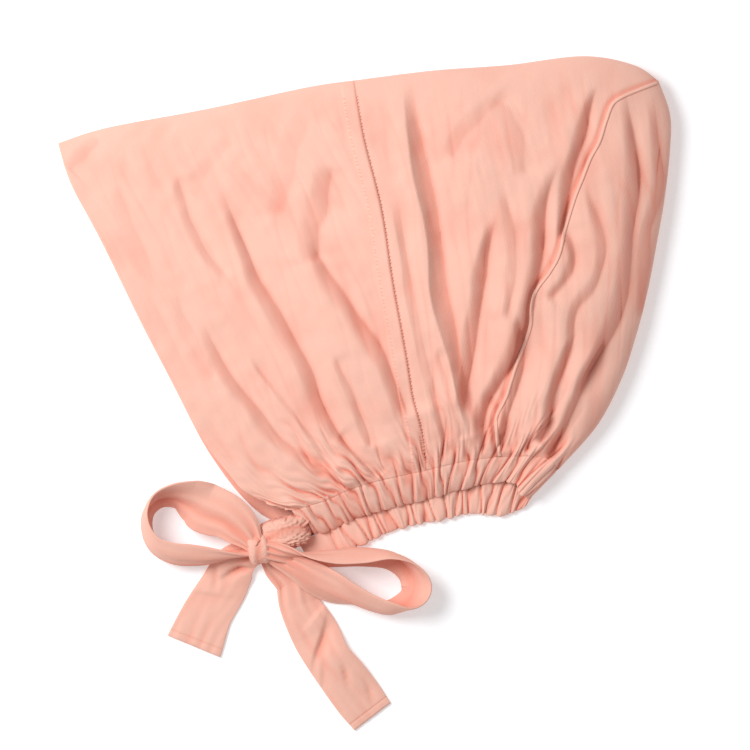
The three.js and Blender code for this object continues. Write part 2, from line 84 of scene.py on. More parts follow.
LOWER = {
    "face": [
        (0.392, 0.008), (0.375, 0.038), (0.327, 0.071), (0.288, 0.12), (0.268, 0.153), (0.235, 0.216),
        (0.185, 0.338), (0.134, 0.461), (0.074, 0.615), (0.023, 0.738), (0, 0.824),
    ],
    "neck_front": [(0.392, 0.008), (0.48, 0.062), (0.543, 0.094), (0.6, 0.11)],
    "neck_back": [(0.6, 0.11), (0.676, 0.129), (0.748, 0.137), (0.8, 0.147), (0.817, 0.158)],
}
SIDE_SEAM_LINE = [UPPER["neck_front"][-1]] + SIDE_SEAM
CENTRE_BACK = [
    (0.72, 0.184), (0.715, 0.225), (0.714, 0.264), (0.73, 0.307), (0.743, 0.359), (0.759, 0.41),
    (0.769, 0.451), (0.771, 0.492), (0.779, 0.523), (0.8, 0.559), (0.815, 0.594), (0.825, 0.645),
    (0.84, 0.707), (0.853, 0.748), (0.866, 0.789), (0.881, 0.824), (0.892, 0.867), (0.903, 0.9),
    (0.921, 0.916), (0.951, 0.932), (0.977, 0.945),
]

# Height of the upper side from the face to the back, at four places from the neck to the crown, in shares.
LIE_PLACES = (0, 0.3, 0.62, 1)
LIE_ROWS = [
    (0.34, 0.36, 0.34, 0.22),
    (0.35, 0.52, 0.5, 0.4),
    (0.36, 0.72, 0.76, 0.64),
    (0.37, 0.9, 1, 0.88),
    (0.36, 0.9, 1, 0.95),
]
CROWN_EDGE = (0.09, 0.28)
BACK_NECK_EDGE = 0.2

# Folds of the upper side, on the front and on the back panel. Each is a slope that falls away from the face
# and then slowly recovers. Columns: how deep it falls, and how wide the slope and the recovery are, in mm;
# how it rolls over, from 1 for a round crest over a sharp crease to -1 for a sharp crest over a hollow; and
# the line of the slope's middle from the crown down.
FRONT_FOLDS = [
    (0.9, 7, 12, 0, [(0.063, 0.841), (0.037, 0.803), (0.013, 0.771)]),
    (1.5, 6, 14, 0.3, [(0.189, 0.756), (0.201, 0.691), (0.225, 0.621), (0.271, 0.539)]),
    (3.2, 8, 20, 0.4, [
        (0.257, 0.727), (0.286, 0.644), (0.314, 0.55), (0.342, 0.492), (0.379, 0.415), (0.403, 0.351),
        (0.419, 0.292), (0.45, 0.227), (0.483, 0.174),
    ]),
    (2.2, 12, 12, 0.2, [(0.433, 0.779), (0.424, 0.709), (0.408, 0.644), (0.41, 0.574)]),
    (3.4, 10, 20, 0.7, [
        (0.403, 0.621), (0.436, 0.539), (0.473, 0.474), (0.513, 0.398), (0.541, 0.327), (0.56, 0.257),
    ]),
    (0.9, 11, 18, 0.0, [(0.401, 0.885), (0.379, 0.821), (0.363, 0.738), (0.356, 0.668)]),
    (0.6, 8, 14, 0.0, [(0.276, 0.774), (0.323, 0.721), (0.365, 0.674)]),
    (0.5, 9, 14, 0.0, [(0.286, 0.838), (0.239, 0.779), (0.215, 0.715)]),
    (2.8, 8, 18, 0.4, [
        (0.229, 0.456), (0.262, 0.362), (0.314, 0.28), (0.342, 0.227), (0.384, 0.186), (0.45, 0.145),
    ]),
    (1.3, 3, 8, 0.0, [(0.309, 0.386), (0.361, 0.304), (0.408, 0.227), (0.447, 0.151)]),
    (1.9, 5, 10, 0.3, [(0.445, 0.386), (0.478, 0.298), (0.508, 0.198)]),
    (1.9, 3, 7, 0.5, [(0.454, 0.227), (0.483, 0.186), (0.52, 0.133)]),
    (0.7, 9, 14, 0.0, [(0.093, 0.738), (0.112, 0.644), (0.154, 0.527)]),
    (0.8, 8, 16, 0.3, [(0.182, 0.503), (0.22, 0.409), (0.248, 0.333)]),
]
BACK_FOLDS = [
    (4.8, 9, 22, -0.6, [
        (0.57, 0.953), (0.576, 0.861), (0.592, 0.756), (0.607, 0.67), (0.615, 0.584), (0.624, 0.492),
        (0.643, 0.4), (0.658, 0.32), (0.676, 0.227),
    ]),
    (1.6, 5, 10, 0.0, [(0.548, 0.707), (0.565, 0.572), (0.58, 0.461), (0.602, 0.338), (0.629, 0.209)]),
    (1.4, 8, 16, 0.0, [(0.735, 0.934), (0.691, 0.891), (0.656, 0.848), (0.632, 0.793)]),
    (1.5, 9, 12, 0.0, [(0.701, 0.904), (0.728, 0.873), (0.745, 0.824), (0.75, 0.75)]),
    (1.8, 6, 12, 0.2, [(0.72, 0.719), (0.735, 0.633), (0.735, 0.547), (0.723, 0.461)]),
    (5.6, 9, 14, 0.8, [
        (0.811, 0.787), (0.786, 0.707), (0.777, 0.621), (0.77, 0.547), (0.76, 0.486), (0.745, 0.418),
        (0.71, 0.338), (0.686, 0.277), (0.678, 0.19),
    ]),
    (5.4, 7, 12, 0.6, [(0.872, 0.941), (0.853, 0.861), (0.837, 0.799), (0.822, 0.719), (0.814, 0.621)]),
    (4.0, 8, 16, 0.4, [
        (0.705, 0.67), (0.691, 0.584), (0.681, 0.522), (0.671, 0.449), (0.666, 0.369), (0.651, 0.27),
    ]),
    (6.2, 9, 14, 0.7, [
        (0.914, 0.934), (0.927, 0.842), (0.934, 0.768), (0.927, 0.67), (0.921, 0.584), (0.912, 0.504),
        (0.887, 0.424), (0.863, 0.369), (0.838, 0.313),
    ]),
    (4.0, 7, 12, 0.3, [(0.962, 0.922), (0.976, 0.756), (0.958, 0.645), (0.951, 0.547), (0.946, 0.461)]),
    (2.8, 5, 8, 0.4, [(0.818, 0.645), (0.834, 0.59), (0.821, 0.544), (0.794, 0.504)]),
    (2.6, 6, 10, 0.4, [(0.853, 0.738), (0.882, 0.621), (0.871, 0.541), (0.84, 0.492), (0.831, 0.418)]),
    (4.8, 6, 9, 0.7, [(0.84, 0.443), (0.816, 0.369), (0.8, 0.307), (0.793, 0.258), (0.779, 0.209)]),
    (4.6, 5, 10, 0.8, [(0.892, 0.424), (0.853, 0.338), (0.824, 0.258), (0.805, 0.215), (0.79, 0.154)]),
    (2.2, 3, 6, 0.5, [(0.809, 0.27), (0.769, 0.215), (0.747, 0.154)]),
    (3.4, 6, 10, 0.5, [(0.742, 0.473), (0.75, 0.369), (0.73, 0.289), (0.715, 0.19)]),
    (1.6, 4, 8, 0.2, [(0.612, 0.4), (0.632, 0.32), (0.654, 0.215)]),
]
FOLD_CREST = 0.45  # how high the cloth stands before it falls, as a share of the depth
CREST_WIDTH = 1.3  # how wide the crest is, in widths of the slope
FOLD_WAVER = 0.4 * MM  # how far a fold strays from its line, and over what size
WAVER_SIZE = 34 * MM
FOLD_FADES = (0.16, 0.1)  # over which shares of its length a fold starts and ends
FOLD_END_WIDTH = 0.6  # how wide the slope is at the fold's ends, as a share of its width
TAPER_POWER = 0.7
FOLD_PULSE = 0.12  # how much the slope's width comes and goes along the fold
PULSE_RATE = 17
PULSE_SHIFT = 40  # how much further on in its pulse a fold is for each mm of depth
RECOVERY_PACE = (0.4, 1.6)  # how fast the cloth recovers right after the slope, and how much that grows
CREASE_WIDTH = 1.4 * MM
FULL_SHADE_DEPTH = 4  # a fold as deep as this, in mm, has all of its shade on the slope and in the crease
SLOPE_SHADE = 0.35
CREASE_SHADE = 0.5
FOLD_SHADE = 0.85  # how much painted shade the folds get beside the gathers

# Gathers. Both sides of the neck have as many, each of its own width and height. The valley between two of
# them has its own reach up the panel. Small ones run through the casing, and broad ones stand above it.
PLEATS = 24
PLEAT_RISE = 3.3 * MM
PLEAT_REACH = (6 * MM, 25 * MM)
PLEAT_WIDTHS = (0.55, 1.5)  # the least and the most of a pleat's width and height, beside an even one
PLEAT_HEIGHTS = (0.5, 1.15)
PLEAT_SHARPNESS = 0.55
PLEAT_FADE = 1.3  # how suddenly a pleat ends at its reach
PLEAT_SWELL = 0.5  # how much higher the pleats stand a little above the stitches
SWELL_PLACE = 8 * MM
SETTLED_REACH = 6 * MM  # at the stitches nothing but the gathers is left of the cloth's relief
PLEAT_LEVEL = 0.5
VALLEY_LEVEL = 0.62  # below this height a pleat's side is in the valley's shade, and how deep that is
PLEAT_SHADE = 2.8
SMALL_PLEAT = 0.16  # how much of the height is in smaller pleats, how many of them there are for each other
SMALL_RATE = 1.7
SMALL_UNEVENNESS = 2  # how uneven they are, and how fast that changes along the neck
UNEVEN_RATE = 23
PLEAT_WAVER = 0.35  # how far a pleat strays sideways, in widths of an even pleat
WAVER_RATES = (37, 91)  # how fast its two strays change along the neck, and over what size up the cloth
WAVER_SIZES = (9 * MM, 6 * MM)
PLEAT_SLANT = (1.6, -0.6)  # how far it leans at the face and at the back, in shares of the neck per metre
SLANT_REACH = 30 * MM
BARE_END = 1.86  # from here the lower side's end has no pleats, and is as high as this
BARE_HEIGHT = 0.8
BROAD_PLEATS = 9  # the broad ones, on each side
BROAD_RISE = 4.6 * MM
BROAD_REACH = (16 * MM, 48 * MM)
BROAD_FADE = 1.6
BROAD_START = 7 * MM  # how far above the stitches they are full
BROAD_SHADE = 1.8


def pleat_table(count, reach, seed):
    """The edges, heights and valleys' reaches of so many uneven pleats on each side of the neck."""
    random = np.random.default_rng(seed)
    edges = np.concatenate([[0], np.cumsum(random.uniform(*PLEAT_WIDTHS, 2 * count))])
    rises = random.uniform(*PLEAT_HEIGHTS, 2 * count)
    reaches = reach[0] * (reach[1] / reach[0]) ** random.uniform(0, 1, 2 * count + 1)
    return edges * 2 / edges[-1], rises, reaches


SMALL_TABLE = pleat_table(PLEATS, PLEAT_REACH, seed=11)
BROAD_TABLE = pleat_table(BROAD_PLEATS, BROAD_REACH, seed=16)


def spline_value(before, start, end, after, part):
    """The value at a part of the way from start to end, on a Catmull-Rom curve through four values."""
    slope_in = (end - before) / 2
    slope_out = (after - start) / 2
    bend = 2 * (start - end) + slope_in + slope_out
    return start + part * (slope_in + part * (3 * (end - start) - 2 * slope_in - slope_out + part * bend))


def plan_points(line, steps=16):
    """Points of the curve through a plan line, in metres from the plan's corner."""
    line = np.asarray(line, float)
    padded = np.vstack([line[:1], line, line[-1:]])
    part = np.linspace(0, 1, steps, endpoint=False)[:, None]
    runs = [spline_value(*four, part) for four in zip(padded, padded[1:], padded[2:], padded[3:])]
    return np.vstack(runs + [line[-1:]]) * (CAP_LENGTH, CAP_DEPTH)


def lengths_along(points):
    """How far along a line each of its points is."""
    return np.concatenate([[0], np.cumsum(np.linalg.norm(np.diff(points, axis=0), axis=1))])


def places_along(points, lengths, walked):
    """The places on a line where so much of its length is walked."""
    return np.stack([np.interp(walked, lengths, column) for column in points.T], -1)


def plan_curve(line, shift=0.0):
    """A curve through a plan line, walked by its share of the length."""
    points = plan_points(line) + (shift, 0)
    lengths = lengths_along(points)

    def at(share):
        return places_along(points, lengths, np.clip(share, 0, 1) * lengths[-1])

    return at


def smooth_value(values, share):
    """The value at a share of a row of evenly placed values, on a Catmull-Rom curve."""
    values = np.asarray(values, float)
    last = len(values) - 1
    at = np.clip(share, 0, 1) * last
    index = np.minimum(at.astype(int), last - 1)
    four = (values[np.clip(index + step, 0, last)] for step in (-1, 0, 1, 2))
    return spline_value(*four, at - index)


def smooth_step(value):
    """A rise from 0 to 1 with soft ends."""
    value = np.clip(value, 0, 1)
    return value * value * (3 - 2 * value)


def bell(value, middle, spread):
    """A bump of height 1 round a middle."""
    return np.exp(-(((value - middle) / spread) ** 2))


def lie_height(along, up):
    """Height of the upper side before folds, on the cubic through its four places."""
    total = 0
    for column, place in enumerate(LIE_PLACES):
        weight = 1
        for other in LIE_PLACES:
            if other != place:
                weight = weight * (up - other) / (place - other)
        total = total + weight * smooth_value([row[column] for row in LIE_ROWS], along)
    return LIE_HEIGHT * total


def edge_height(along, up, to_back):
    """Height of the folded edge that both sides share, along the crown and down the back."""
    crown = CROWN_EDGE[0] + (CROWN_EDGE[1] - CROWN_EDGE[0]) * along
    return LIE_HEIGHT * (crown - to_back * (1 - up) * (CROWN_EDGE[1] - BACK_NECK_EDGE))


def risen(distance, height, nose):
    """The share of its full height that the cloth has at a distance from a folded edge."""
    part = np.clip(distance * nose / height**2, 0, 1)
    return np.sqrt(part * (2 - part))


def beside(line, x, y):
    """How far each place is from a plan line, positive on its left, and the share of the line beside it."""
    points = plan_points(line, 8)
    nearest = np.full(x.shape, np.inf)
    signed = np.zeros(x.shape)
    share = np.zeros(x.shape)
    for index, (start, end) in enumerate(zip(points, points[1:])):
        step = end - start
        away_x, away_y = x - start[0], y - start[1]
        part = np.clip((away_x * step[0] + away_y * step[1]) / (step @ step), 0, 1)
        gap = np.hypot(away_x - part * step[0], away_y - part * step[1])
        closer = gap < nearest
        side = np.where(step[0] * away_y - step[1] * away_x < 0, -1, 1)
        signed = np.where(closer, side * gap, signed)
        share = np.where(closer, (index + part) / (len(points) - 1), share)
        nearest = np.where(closer, gap, nearest)
    return signed, share


RIPPLE_RATES = (0.6, 1.5)  # the slowest and the quickest of a ripple's waves, beside one for each size


def ripple(x, y, size, seed, waves=14):
    """A smooth random wave of about the given size, mostly between -1 and 1."""
    random = np.random.default_rng(seed)
    least, most = (0, RIPPLE_RATES[0], 0), (math.pi, RIPPLE_RATES[1], 2 * math.pi)
    total = 0
    for angle, rate, phase in random.uniform(least, most, (waves, 3)):
        across = x * math.cos(angle) + y * math.sin(angle)
        total = total + np.cos(2 * math.pi * across * rate / size + phase)
    return total / math.sqrt(2 * waves)


def folded(folds, x, y):
    """How far the folds take the cloth down, and how much painted shade each place gets on a fold's slope
    and in its crease.
    """
    drop = np.zeros(x.shape)
    painted_shade = np.zeros(x.shape)
    waver = FOLD_WAVER * ripple(x, y, WAVER_SIZE, seed=21)
    for depth, slope, recovery, roll, line in folds:
        distance, share = beside(line, x, y)
        distance = distance + waver
        pulse = FOLD_PULSE * np.sin(PULSE_RATE * share + PULSE_SHIFT * depth)
        taper = FOLD_END_WIDTH + (1 - FOLD_END_WIDTH) * np.sin(math.pi * share) ** TAPER_POWER + pulse
        slope, recovery = slope * MM * taper, recovery * MM
        fade = smooth_step(share / FOLD_FADES[0]) * smooth_step((1 - share) / FOLD_FADES[1])
        part = np.clip(distance / slope + 0.5, 0, 1)
        fallen = part ** (1 + roll) if roll > 0 else 1 - (1 - part) ** (1 - roll)
        before = np.maximum(0, -distance - slope / 2)
        after = np.maximum(0, distance - slope / 2)
        crest = FOLD_CREST * bell(before, 0, CREST_WIDTH * slope) * (1 - fallen)
        pace = RECOVERY_PACE[0] + RECOVERY_PACE[1] * after / (after + recovery)
        drop += depth * MM * fade * (fallen * np.exp(-after / recovery * pace) - crest)
        hollow = part ** (1 + max(roll, 0)) * bell(after, 0, CREASE_WIDTH)
        shade = SLOPE_SHADE * smooth_step(2 * part) * (after == 0) + CREASE_SHADE * hollow
        painted_shade += min(1, depth / FULL_SHADE_DEPTH) * fade * shade
    return drop, np.clip(painted_shade, 0, 1)


def pleat(share, above, table=SMALL_TABLE):
    """The height and the reach of the gather above a share of the neck, from 0 over 1 at the back to 2."""
    edges, heights, reaches = table
    stray = np.sin(share * WAVER_RATES[0] + above / WAVER_SIZES[0])
    stray = stray + np.sin(share * WAVER_RATES[1] - above / WAVER_SIZES[1] + 1)
    slant = PLEAT_SLANT[0] + (PLEAT_SLANT[1] - PLEAT_SLANT[0]) * np.minimum(share, 2 - share)
    lean = slant * np.sign(1 - share) * np.tanh(above / SLANT_REACH) * SLANT_REACH
    bare = smooth_step((share - BARE_END) / (2 - BARE_END) * 2)
    share = np.clip(share + PLEAT_WAVER / PLEATS / 2 * stray + lean, 0, 2)
    index = np.clip(np.searchsorted(edges, share, side="right") - 1, 0, len(heights) - 1)
    part = (share - edges[index]) / (edges[index + 1] - edges[index])
    arch = np.sin(math.pi * np.clip(part, 0, 1)) ** PLEAT_SHARPNESS
    uneven = SMALL_UNEVENNESS * np.sin(share * UNEVEN_RATE) + above / WAVER_SIZES[1]
    small = np.abs(np.sin(share * math.pi * PLEATS * SMALL_RATE + uneven))
    height = heights[index] * arch * (1 - SMALL_PLEAT) + SMALL_PLEAT * small
    reach = reaches[index] + (reaches[index + 1] - reaches[index]) * part
    return height + (BARE_HEIGHT - height) * bare, reach


def gathered(share, above):
    """How far the gathers raise the cloth above the stitches, and how much painted shade each place gets in
    their valleys.
    """
    height, reach = pleat(share, above)
    broad_height, broad_reach = pleat(share, above, BROAD_TABLE)
    near_neck = np.exp(-((above / reach) ** PLEAT_FADE))
    above_neck = np.exp(-((above / broad_reach) ** BROAD_FADE)) * smooth_step(above / BROAD_START)
    swell = 1 + PLEAT_SWELL * above / SWELL_PLACE * np.exp(1 - above / SWELL_PLACE)
    rise = PLEAT_RISE * (height - PLEAT_LEVEL) * near_neck * swell
    rise = rise + BROAD_RISE * (broad_height - PLEAT_LEVEL) * above_neck
    painted_shade = near_neck * np.clip(VALLEY_LEVEL - height, 0, 1) * PLEAT_SHADE
    painted_shade = painted_shade + above_neck * np.clip(PLEAT_LEVEL - broad_height, 0, 1) * BROAD_SHADE
    return rise, painted_shade


# The side seam's allowance lies under the front panel and lifts a band of it. The centre-back seam stands
# up, and the cloth on its left falls away from it.
SEAM_RISE = 0.9 * MM
SEAM_GROOVE = 0.7 * MM
SEAM_PULL = 0.7  # how deep the seam's own groove is, as a share of the rise
SEAM_CALM = 12 * MM  # how far from the side seam the wrinkles start
SIDE_SEAM_BAND = 7 * MM
SIDE_SEAM_SHADE = 0.6
BACK_GROOVE_OFFSET = 1.9 * MM
BACK_GROOVE_WIDTH = 1.4 * MM
BACK_GROOVE_DEPTH = 1.7 * MM
BACK_RISE_WIDTH = 5.6 * MM
GROOVE_SHADE = 0.7


def side_seam_relief(x, y):
    """The rise of the side seam's allowance, and how much painted shade each place gets in its groove."""
    distance, _ = beside(SIDE_SEAM_LINE, x, y)
    band = smooth_step((SIDE_SEAM_BAND / 2 - np.abs(distance - SIDE_SEAM_BAND / 2)) / SEAM_GROOVE + 0.5)
    groove = bell(distance, 0, SEAM_GROOVE)
    return SEAM_RISE * (band - SEAM_PULL * groove), SIDE_SEAM_SHADE * groove


def back_seam_relief(x, y):
    """The rise of the centre-back seam, and how much painted shade each place gets in the groove beside it.
    """
    distance, _ = beside(CENTRE_BACK, x, y)
    groove = bell(distance, BACK_GROOVE_OFFSET, BACK_GROOVE_WIDTH)
    return SEAM_RISE * bell(distance, 0, BACK_RISE_WIDTH) - BACK_GROOVE_DEPTH * groove, groove


# Wrinkles of the upper side, which run up the cloth and are less at the face, the crown and the side seam:
# how high and wide they are, how fast they change up the cloth beside across it, and the panels' two seeds.
STREAKS = {"rise": 0.45 * MM, "size": 13 * MM, "change": 0.14, "seeds": (5, 6)}
CREASES = {"rise": 0.9 * MM, "size": 17 * MM, "change": 0.17, "seeds": (9, 10)}
FINE_STREAKS = {"rise": 0.1 * MM, "size": 5 * MM, "change": 0.22, "seeds": (7, 7)}
CREASE_TOP = 0.8  # where a crease's sides end, and the level that the cloth keeps
CREASE_LEVEL = 0.6
SHARP_CREASE = 0.16
CREASED_SHADE = 0.3
LOW_SHADE = 0.25
NECK_DRAW = 0.5  # how much closer together they lie at the neck, where the cloth is gathered
DRAW_REACH = 60 * MM
CROWN_CALM = 30 * MM
FACE_CALM = 0.3
PATCHINESS = 0.45
PATCH_SIZE = 50 * MM
SWELLS = [(0.6 * MM, 45 * MM, 8), (0.16 * MM, 15 * MM, 13)]  # waves all over it: rise, size and seed


def wave(kind, front, across, up):
    """The waves of one kind of wrinkle on a panel."""
    return ripple(across, kind["change"] * up, kind["size"], kind["seeds"][0 if front else 1])


def wrinkled(front, x, y, across, up, depth, width):
    """The height of a panel's wrinkles, and how much painted shade each place gets in their creases and low
    parts.
    """
    along = (across if front else 1 + across) / 2
    off_seam = smooth_step((1 - across if front else across) * width / SEAM_CALM)
    above = up * depth
    drawn = across * width * (1 + NECK_DRAW * np.exp(-above / DRAW_REACH))
    streaks, fine = (wave(kind, front, drawn, above) for kind in (STREAKS, FINE_STREAKS))
    creases = np.abs(wave(CREASES, front, drawn, above))
    loose = smooth_step((1 - up) * depth / CROWN_CALM) * (FACE_CALM + (1 - FACE_CALM) * along)
    patchy = 1 - PATCHINESS + PATCHINESS * ripple(x, y, PATCH_SIZE, seed=12)
    creased = CREASES["rise"] * patchy * (np.minimum(creases, CREASE_TOP) - CREASE_LEVEL)
    height = off_seam * loose * (STREAKS["rise"] * streaks + FINE_STREAKS["rise"] * fine + creased)
    for rise, size, seed in SWELLS:
        height = height + rise * ripple(x, y, size, seed)
    painted_shade = CREASED_SHADE * off_seam * loose * np.clip(patchy, 0, 1) * bell(creases, 0, SHARP_CREASE)
    return height, painted_shade + LOW_SHADE * np.clip(-height / MM, 0, 1)


def panel_plan(front, upper, across, up):
    """Plan places of a panel's side, across from the face to the back and up from the neck to the crown."""
    side = UPPER if upper else LOWER
    seam = [side["neck_front"][-1]] + SIDE_SEAM
    left = plan_curve(side["face"]) if front else plan_curve(seam, SEW_GAP / 2)
    right = plan_curve(seam, -SEW_GAP / 2) if front else plan_curve(BACK)
    bottom = plan_curve(side["neck_front" if front else "neck_back"])
    top = plan_curve(CROWN_FRONT if front else CROWN_BACK)
    wide, high = across[..., None], up[..., None]
    low_row = bottom(0) * (1 - wide) + bottom(1) * wide
    high_row = top(0) * (1 - wide) + top(1) * wide
    sides = left(up) * (1 - wide) + right(up) * wide
    plan = sides + bottom(across) * (1 - high) + top(across) * high - low_row * (1 - high) - high_row * high
    depth = np.linalg.norm(top(across) - bottom(across), axis=-1)
    width = np.linalg.norm(right(up) - left(up), axis=-1)
    return plan[..., 0], plan[..., 1], depth, width


def bare_height(front, upper, across, up, depth, width):
    """Height of a panel's side before its relief, and the share of it that the folded edges leave."""
    along = (across if front else 1 + across) / 2
    nose = NOSE_FRONT + (NOSE_BACK - NOSE_FRONT) * along
    edge = edge_height(along, up, 0 if front else across)
    full = lie_height(along, up) if upper else np.zeros(along.shape)
    height = np.maximum(np.abs(full - edge), nose)
    share = risen((1 - up) * depth, height, nose)
    if not front:
        share = share * risen((1 - across) * width, height, nose)
    return edge + (full - edge) * share, share


def panel_surface(front, upper, across, up):
    """Places of one side of a panel, how much painted shade each gets, and where it is on the flat cloth.
    """
    x, y, depth, width = panel_plan(front, upper, across, up)
    z, share = bare_height(front, upper, across, up, depth, width)
    along = (across if front else 1 + across) / 2
    above = up * depth
    relief, painted_shade = gathered(along if upper else 2 - along, above)
    if upper:
        drop, fold_painted_shade = folded(FRONT_FOLDS + BACK_FOLDS, x, y)
        wrinkle, wrinkle_painted_shade = wrinkled(front, x, y, across, up, depth, width)
        side_seam, side_groove = side_seam_relief(x, y)
        back_seam, back_groove = back_seam_relief(x, y)
        relief = relief + smooth_step(above / SETTLED_REACH) * (wrinkle - drop + side_seam + back_seam)
        painted_shade = painted_shade + FOLD_SHADE * fold_painted_shade + wrinkle_painted_shade
        painted_shade = painted_shade + GROOVE_SHADE * np.maximum(side_groove, back_groove)
    z = np.maximum(z + share * relief, 0)
    places = np.stack([x + PLAN_CORNER[0], y + PLAN_CORNER[1], z], -1)
    return places, np.clip(painted_shade, 0, 1), np.stack([across * width, above], -1)


# The knot and the crossing of the ties press into whatever is beside them. Sizes across, along and up in
# mm, and the turn in degrees.
KNOT = {"place": (0.327, -0.004), "size": (12.5, 17, 15), "turn": 14}
CROSSING = {"place": (0.368, 0.027), "size": (28, 17, 14), "turn": 12}
KNOT_LIFT = 1.8 * MM
KNOT_GAP = 0.4 * MM


def lump_frame(lump):
    """The middle, the half sizes and the turned axes of a lump of bunched cloth."""
    plan = np.array(lump["place"]) * (CAP_LENGTH, CAP_DEPTH) + PLAN_CORNER
    half = np.array(lump["size"]) * MM / 2
    turn = math.radians(lump["turn"])
    axes = np.array([[math.cos(turn), math.sin(turn), 0], [-math.sin(turn), math.cos(turn), 0], [0, 0, 1]])
    return np.array([plan[0], plan[1], KNOT_LIFT + half[2]]), half, axes


def unit(vectors):
    """The vectors at a length of 1."""
    return vectors / np.maximum(np.linalg.norm(vectors, axis=-1, keepdims=True), 1e-12)


def keep_off(places, *lumps):
    """Pushes the places that are in a lump out to its surface."""
    for lump in lumps:
        middle, half, axes = lump_frame(lump)
        local = (places - middle) @ axes.T / (half + KNOT_GAP)
        pushed = unit(local) * (half + KNOT_GAP) @ axes + middle
        places = np.where(np.linalg.norm(local, axis=-1, keepdims=True) < 1, pushed, places)
    return places


RIM_STEPS = 4
INNER_SHADE = 0.3
RIM_SHADE = 0.5  # how much of the outer side's shade is left on the rims


def cloth_object(name, places, faces, painted_shade, knit):
    """A smooth mesh object with the painted shade and the flat cloth's places as attributes."""
    mesh = bpy.data.meshes.new(name)
    mesh.from_pydata(places.tolist(), [], faces)
    mesh.attributes.new("painted_shade", "FLOAT", "POINT").data.foreach_set("value", painted_shade)
    flat = np.column_stack([knit, np.zeros(len(knit))])
    mesh.attributes.new("knit", "FLOAT_VECTOR", "POINT").data.foreach_set("vector", flat.ravel())
    mesh.shade_smooth()
    mesh.validate()
    piece = bpy.data.objects.new(name, mesh)
    bpy.context.collection.objects.link(piece)
    return piece


def point_normals(places, faces):
    """The normals of a mesh's points."""
    probe = bpy.data.meshes.new("probe")
    probe.from_pydata(places.tolist(), [], faces)
    probe.update()
    normals = np.zeros(len(places) * 3)
    probe.vertices.foreach_get("normal", normals)
    bpy.data.meshes.remove(probe)
    return normals.reshape(-1, 3)


def sheet_solid(name, places, faces, painted_shade, knit, walls):
    """A thin closed mesh from its outer side, with the inner side a wall behind it and with round rims."""
    normals = point_normals(places, faces)
    count = len(places)
    inner = places - normals * walls[:, None]
    inner[:, 2] = np.maximum(inner[:, 2], walls / 2)
    directed = {(here, there) for face in faces for here, there in zip(face, face[1:] + face[:1])}
    rim = [(here, there) for here, there in directed if (there, here) not in directed]
    outward = np.zeros((count, 3))
    for here, there in rim:
        push = unit(np.cross(places[there] - places[here], normals[here]))
        outward[here] += push
        outward[there] += push
    rim_ids = sorted({corner for edge in rim for corner in edge})
    outward = unit(outward[rim_ids])
    middle = (places[rim_ids] + inner[rim_ids]) / 2
    rings = []
    rows = [{corner: corner for corner in rim_ids}]
    for step in range(1, RIM_STEPS):
        turn = math.pi * step / RIM_STEPS
        bulge = outward * walls[rim_ids, None] / 2 * math.sin(turn)
        ring = middle + (places[rim_ids] - middle) * math.cos(turn) + bulge
        ring[:, 2] = np.maximum(ring[:, 2], 0)
        rings.append(ring)
        start = 2 * count + (step - 1) * len(rim_ids)
        rows.append({corner: start + order for order, corner in enumerate(rim_ids)})
    rows.append({corner: corner + count for corner in rim_ids})
    solid_faces = list(faces) + [[corner + count for corner in reversed(face)] for face in faces]
    for here, there in rim:
        for row, following in zip(rows, rows[1:]):
            solid_faces.append([row[there], row[here], following[here], following[there]])
    turns = RIM_STEPS - 1
    # Painted shade: the inner side gets a fixed amount, the rims part of the outer side's.
    shade = [painted_shade, np.full(count, INNER_SHADE), np.tile(painted_shade[rim_ids] * RIM_SHADE, turns)]
    flat = np.vstack([knit, knit, np.tile(knit[rim_ids], (turns, 1))])
    return cloth_object(name, np.vstack([places, inner, *rings]), solid_faces, np.concatenate(shade), flat)


PANEL_COLUMNS = 264
PANEL_ROWS = 160
BACK_CROWDING = 1.5  # how crowded the columns are at the back, and the rows at the neck and at the crown
NECK_CROWDING = 1.6
CROWN_CROWDING = 1.8
SEWN_WALL = 0.2 * MM  # the cloth thins towards the neck, where the casing is sewn under it
SEWN_REACH = 5 * MM
COARSE = 4  # the lower side, which lies on the table, has every fourth row and column


def crowded(count, low_power, high_power):
    """Shares from 0 to 1 that lie closer together towards either end, as much as its power says."""
    even = np.linspace(0, 1, count + 1)
    return even**low_power * (1 - even) + (1 - (1 - even) ** high_power) * even


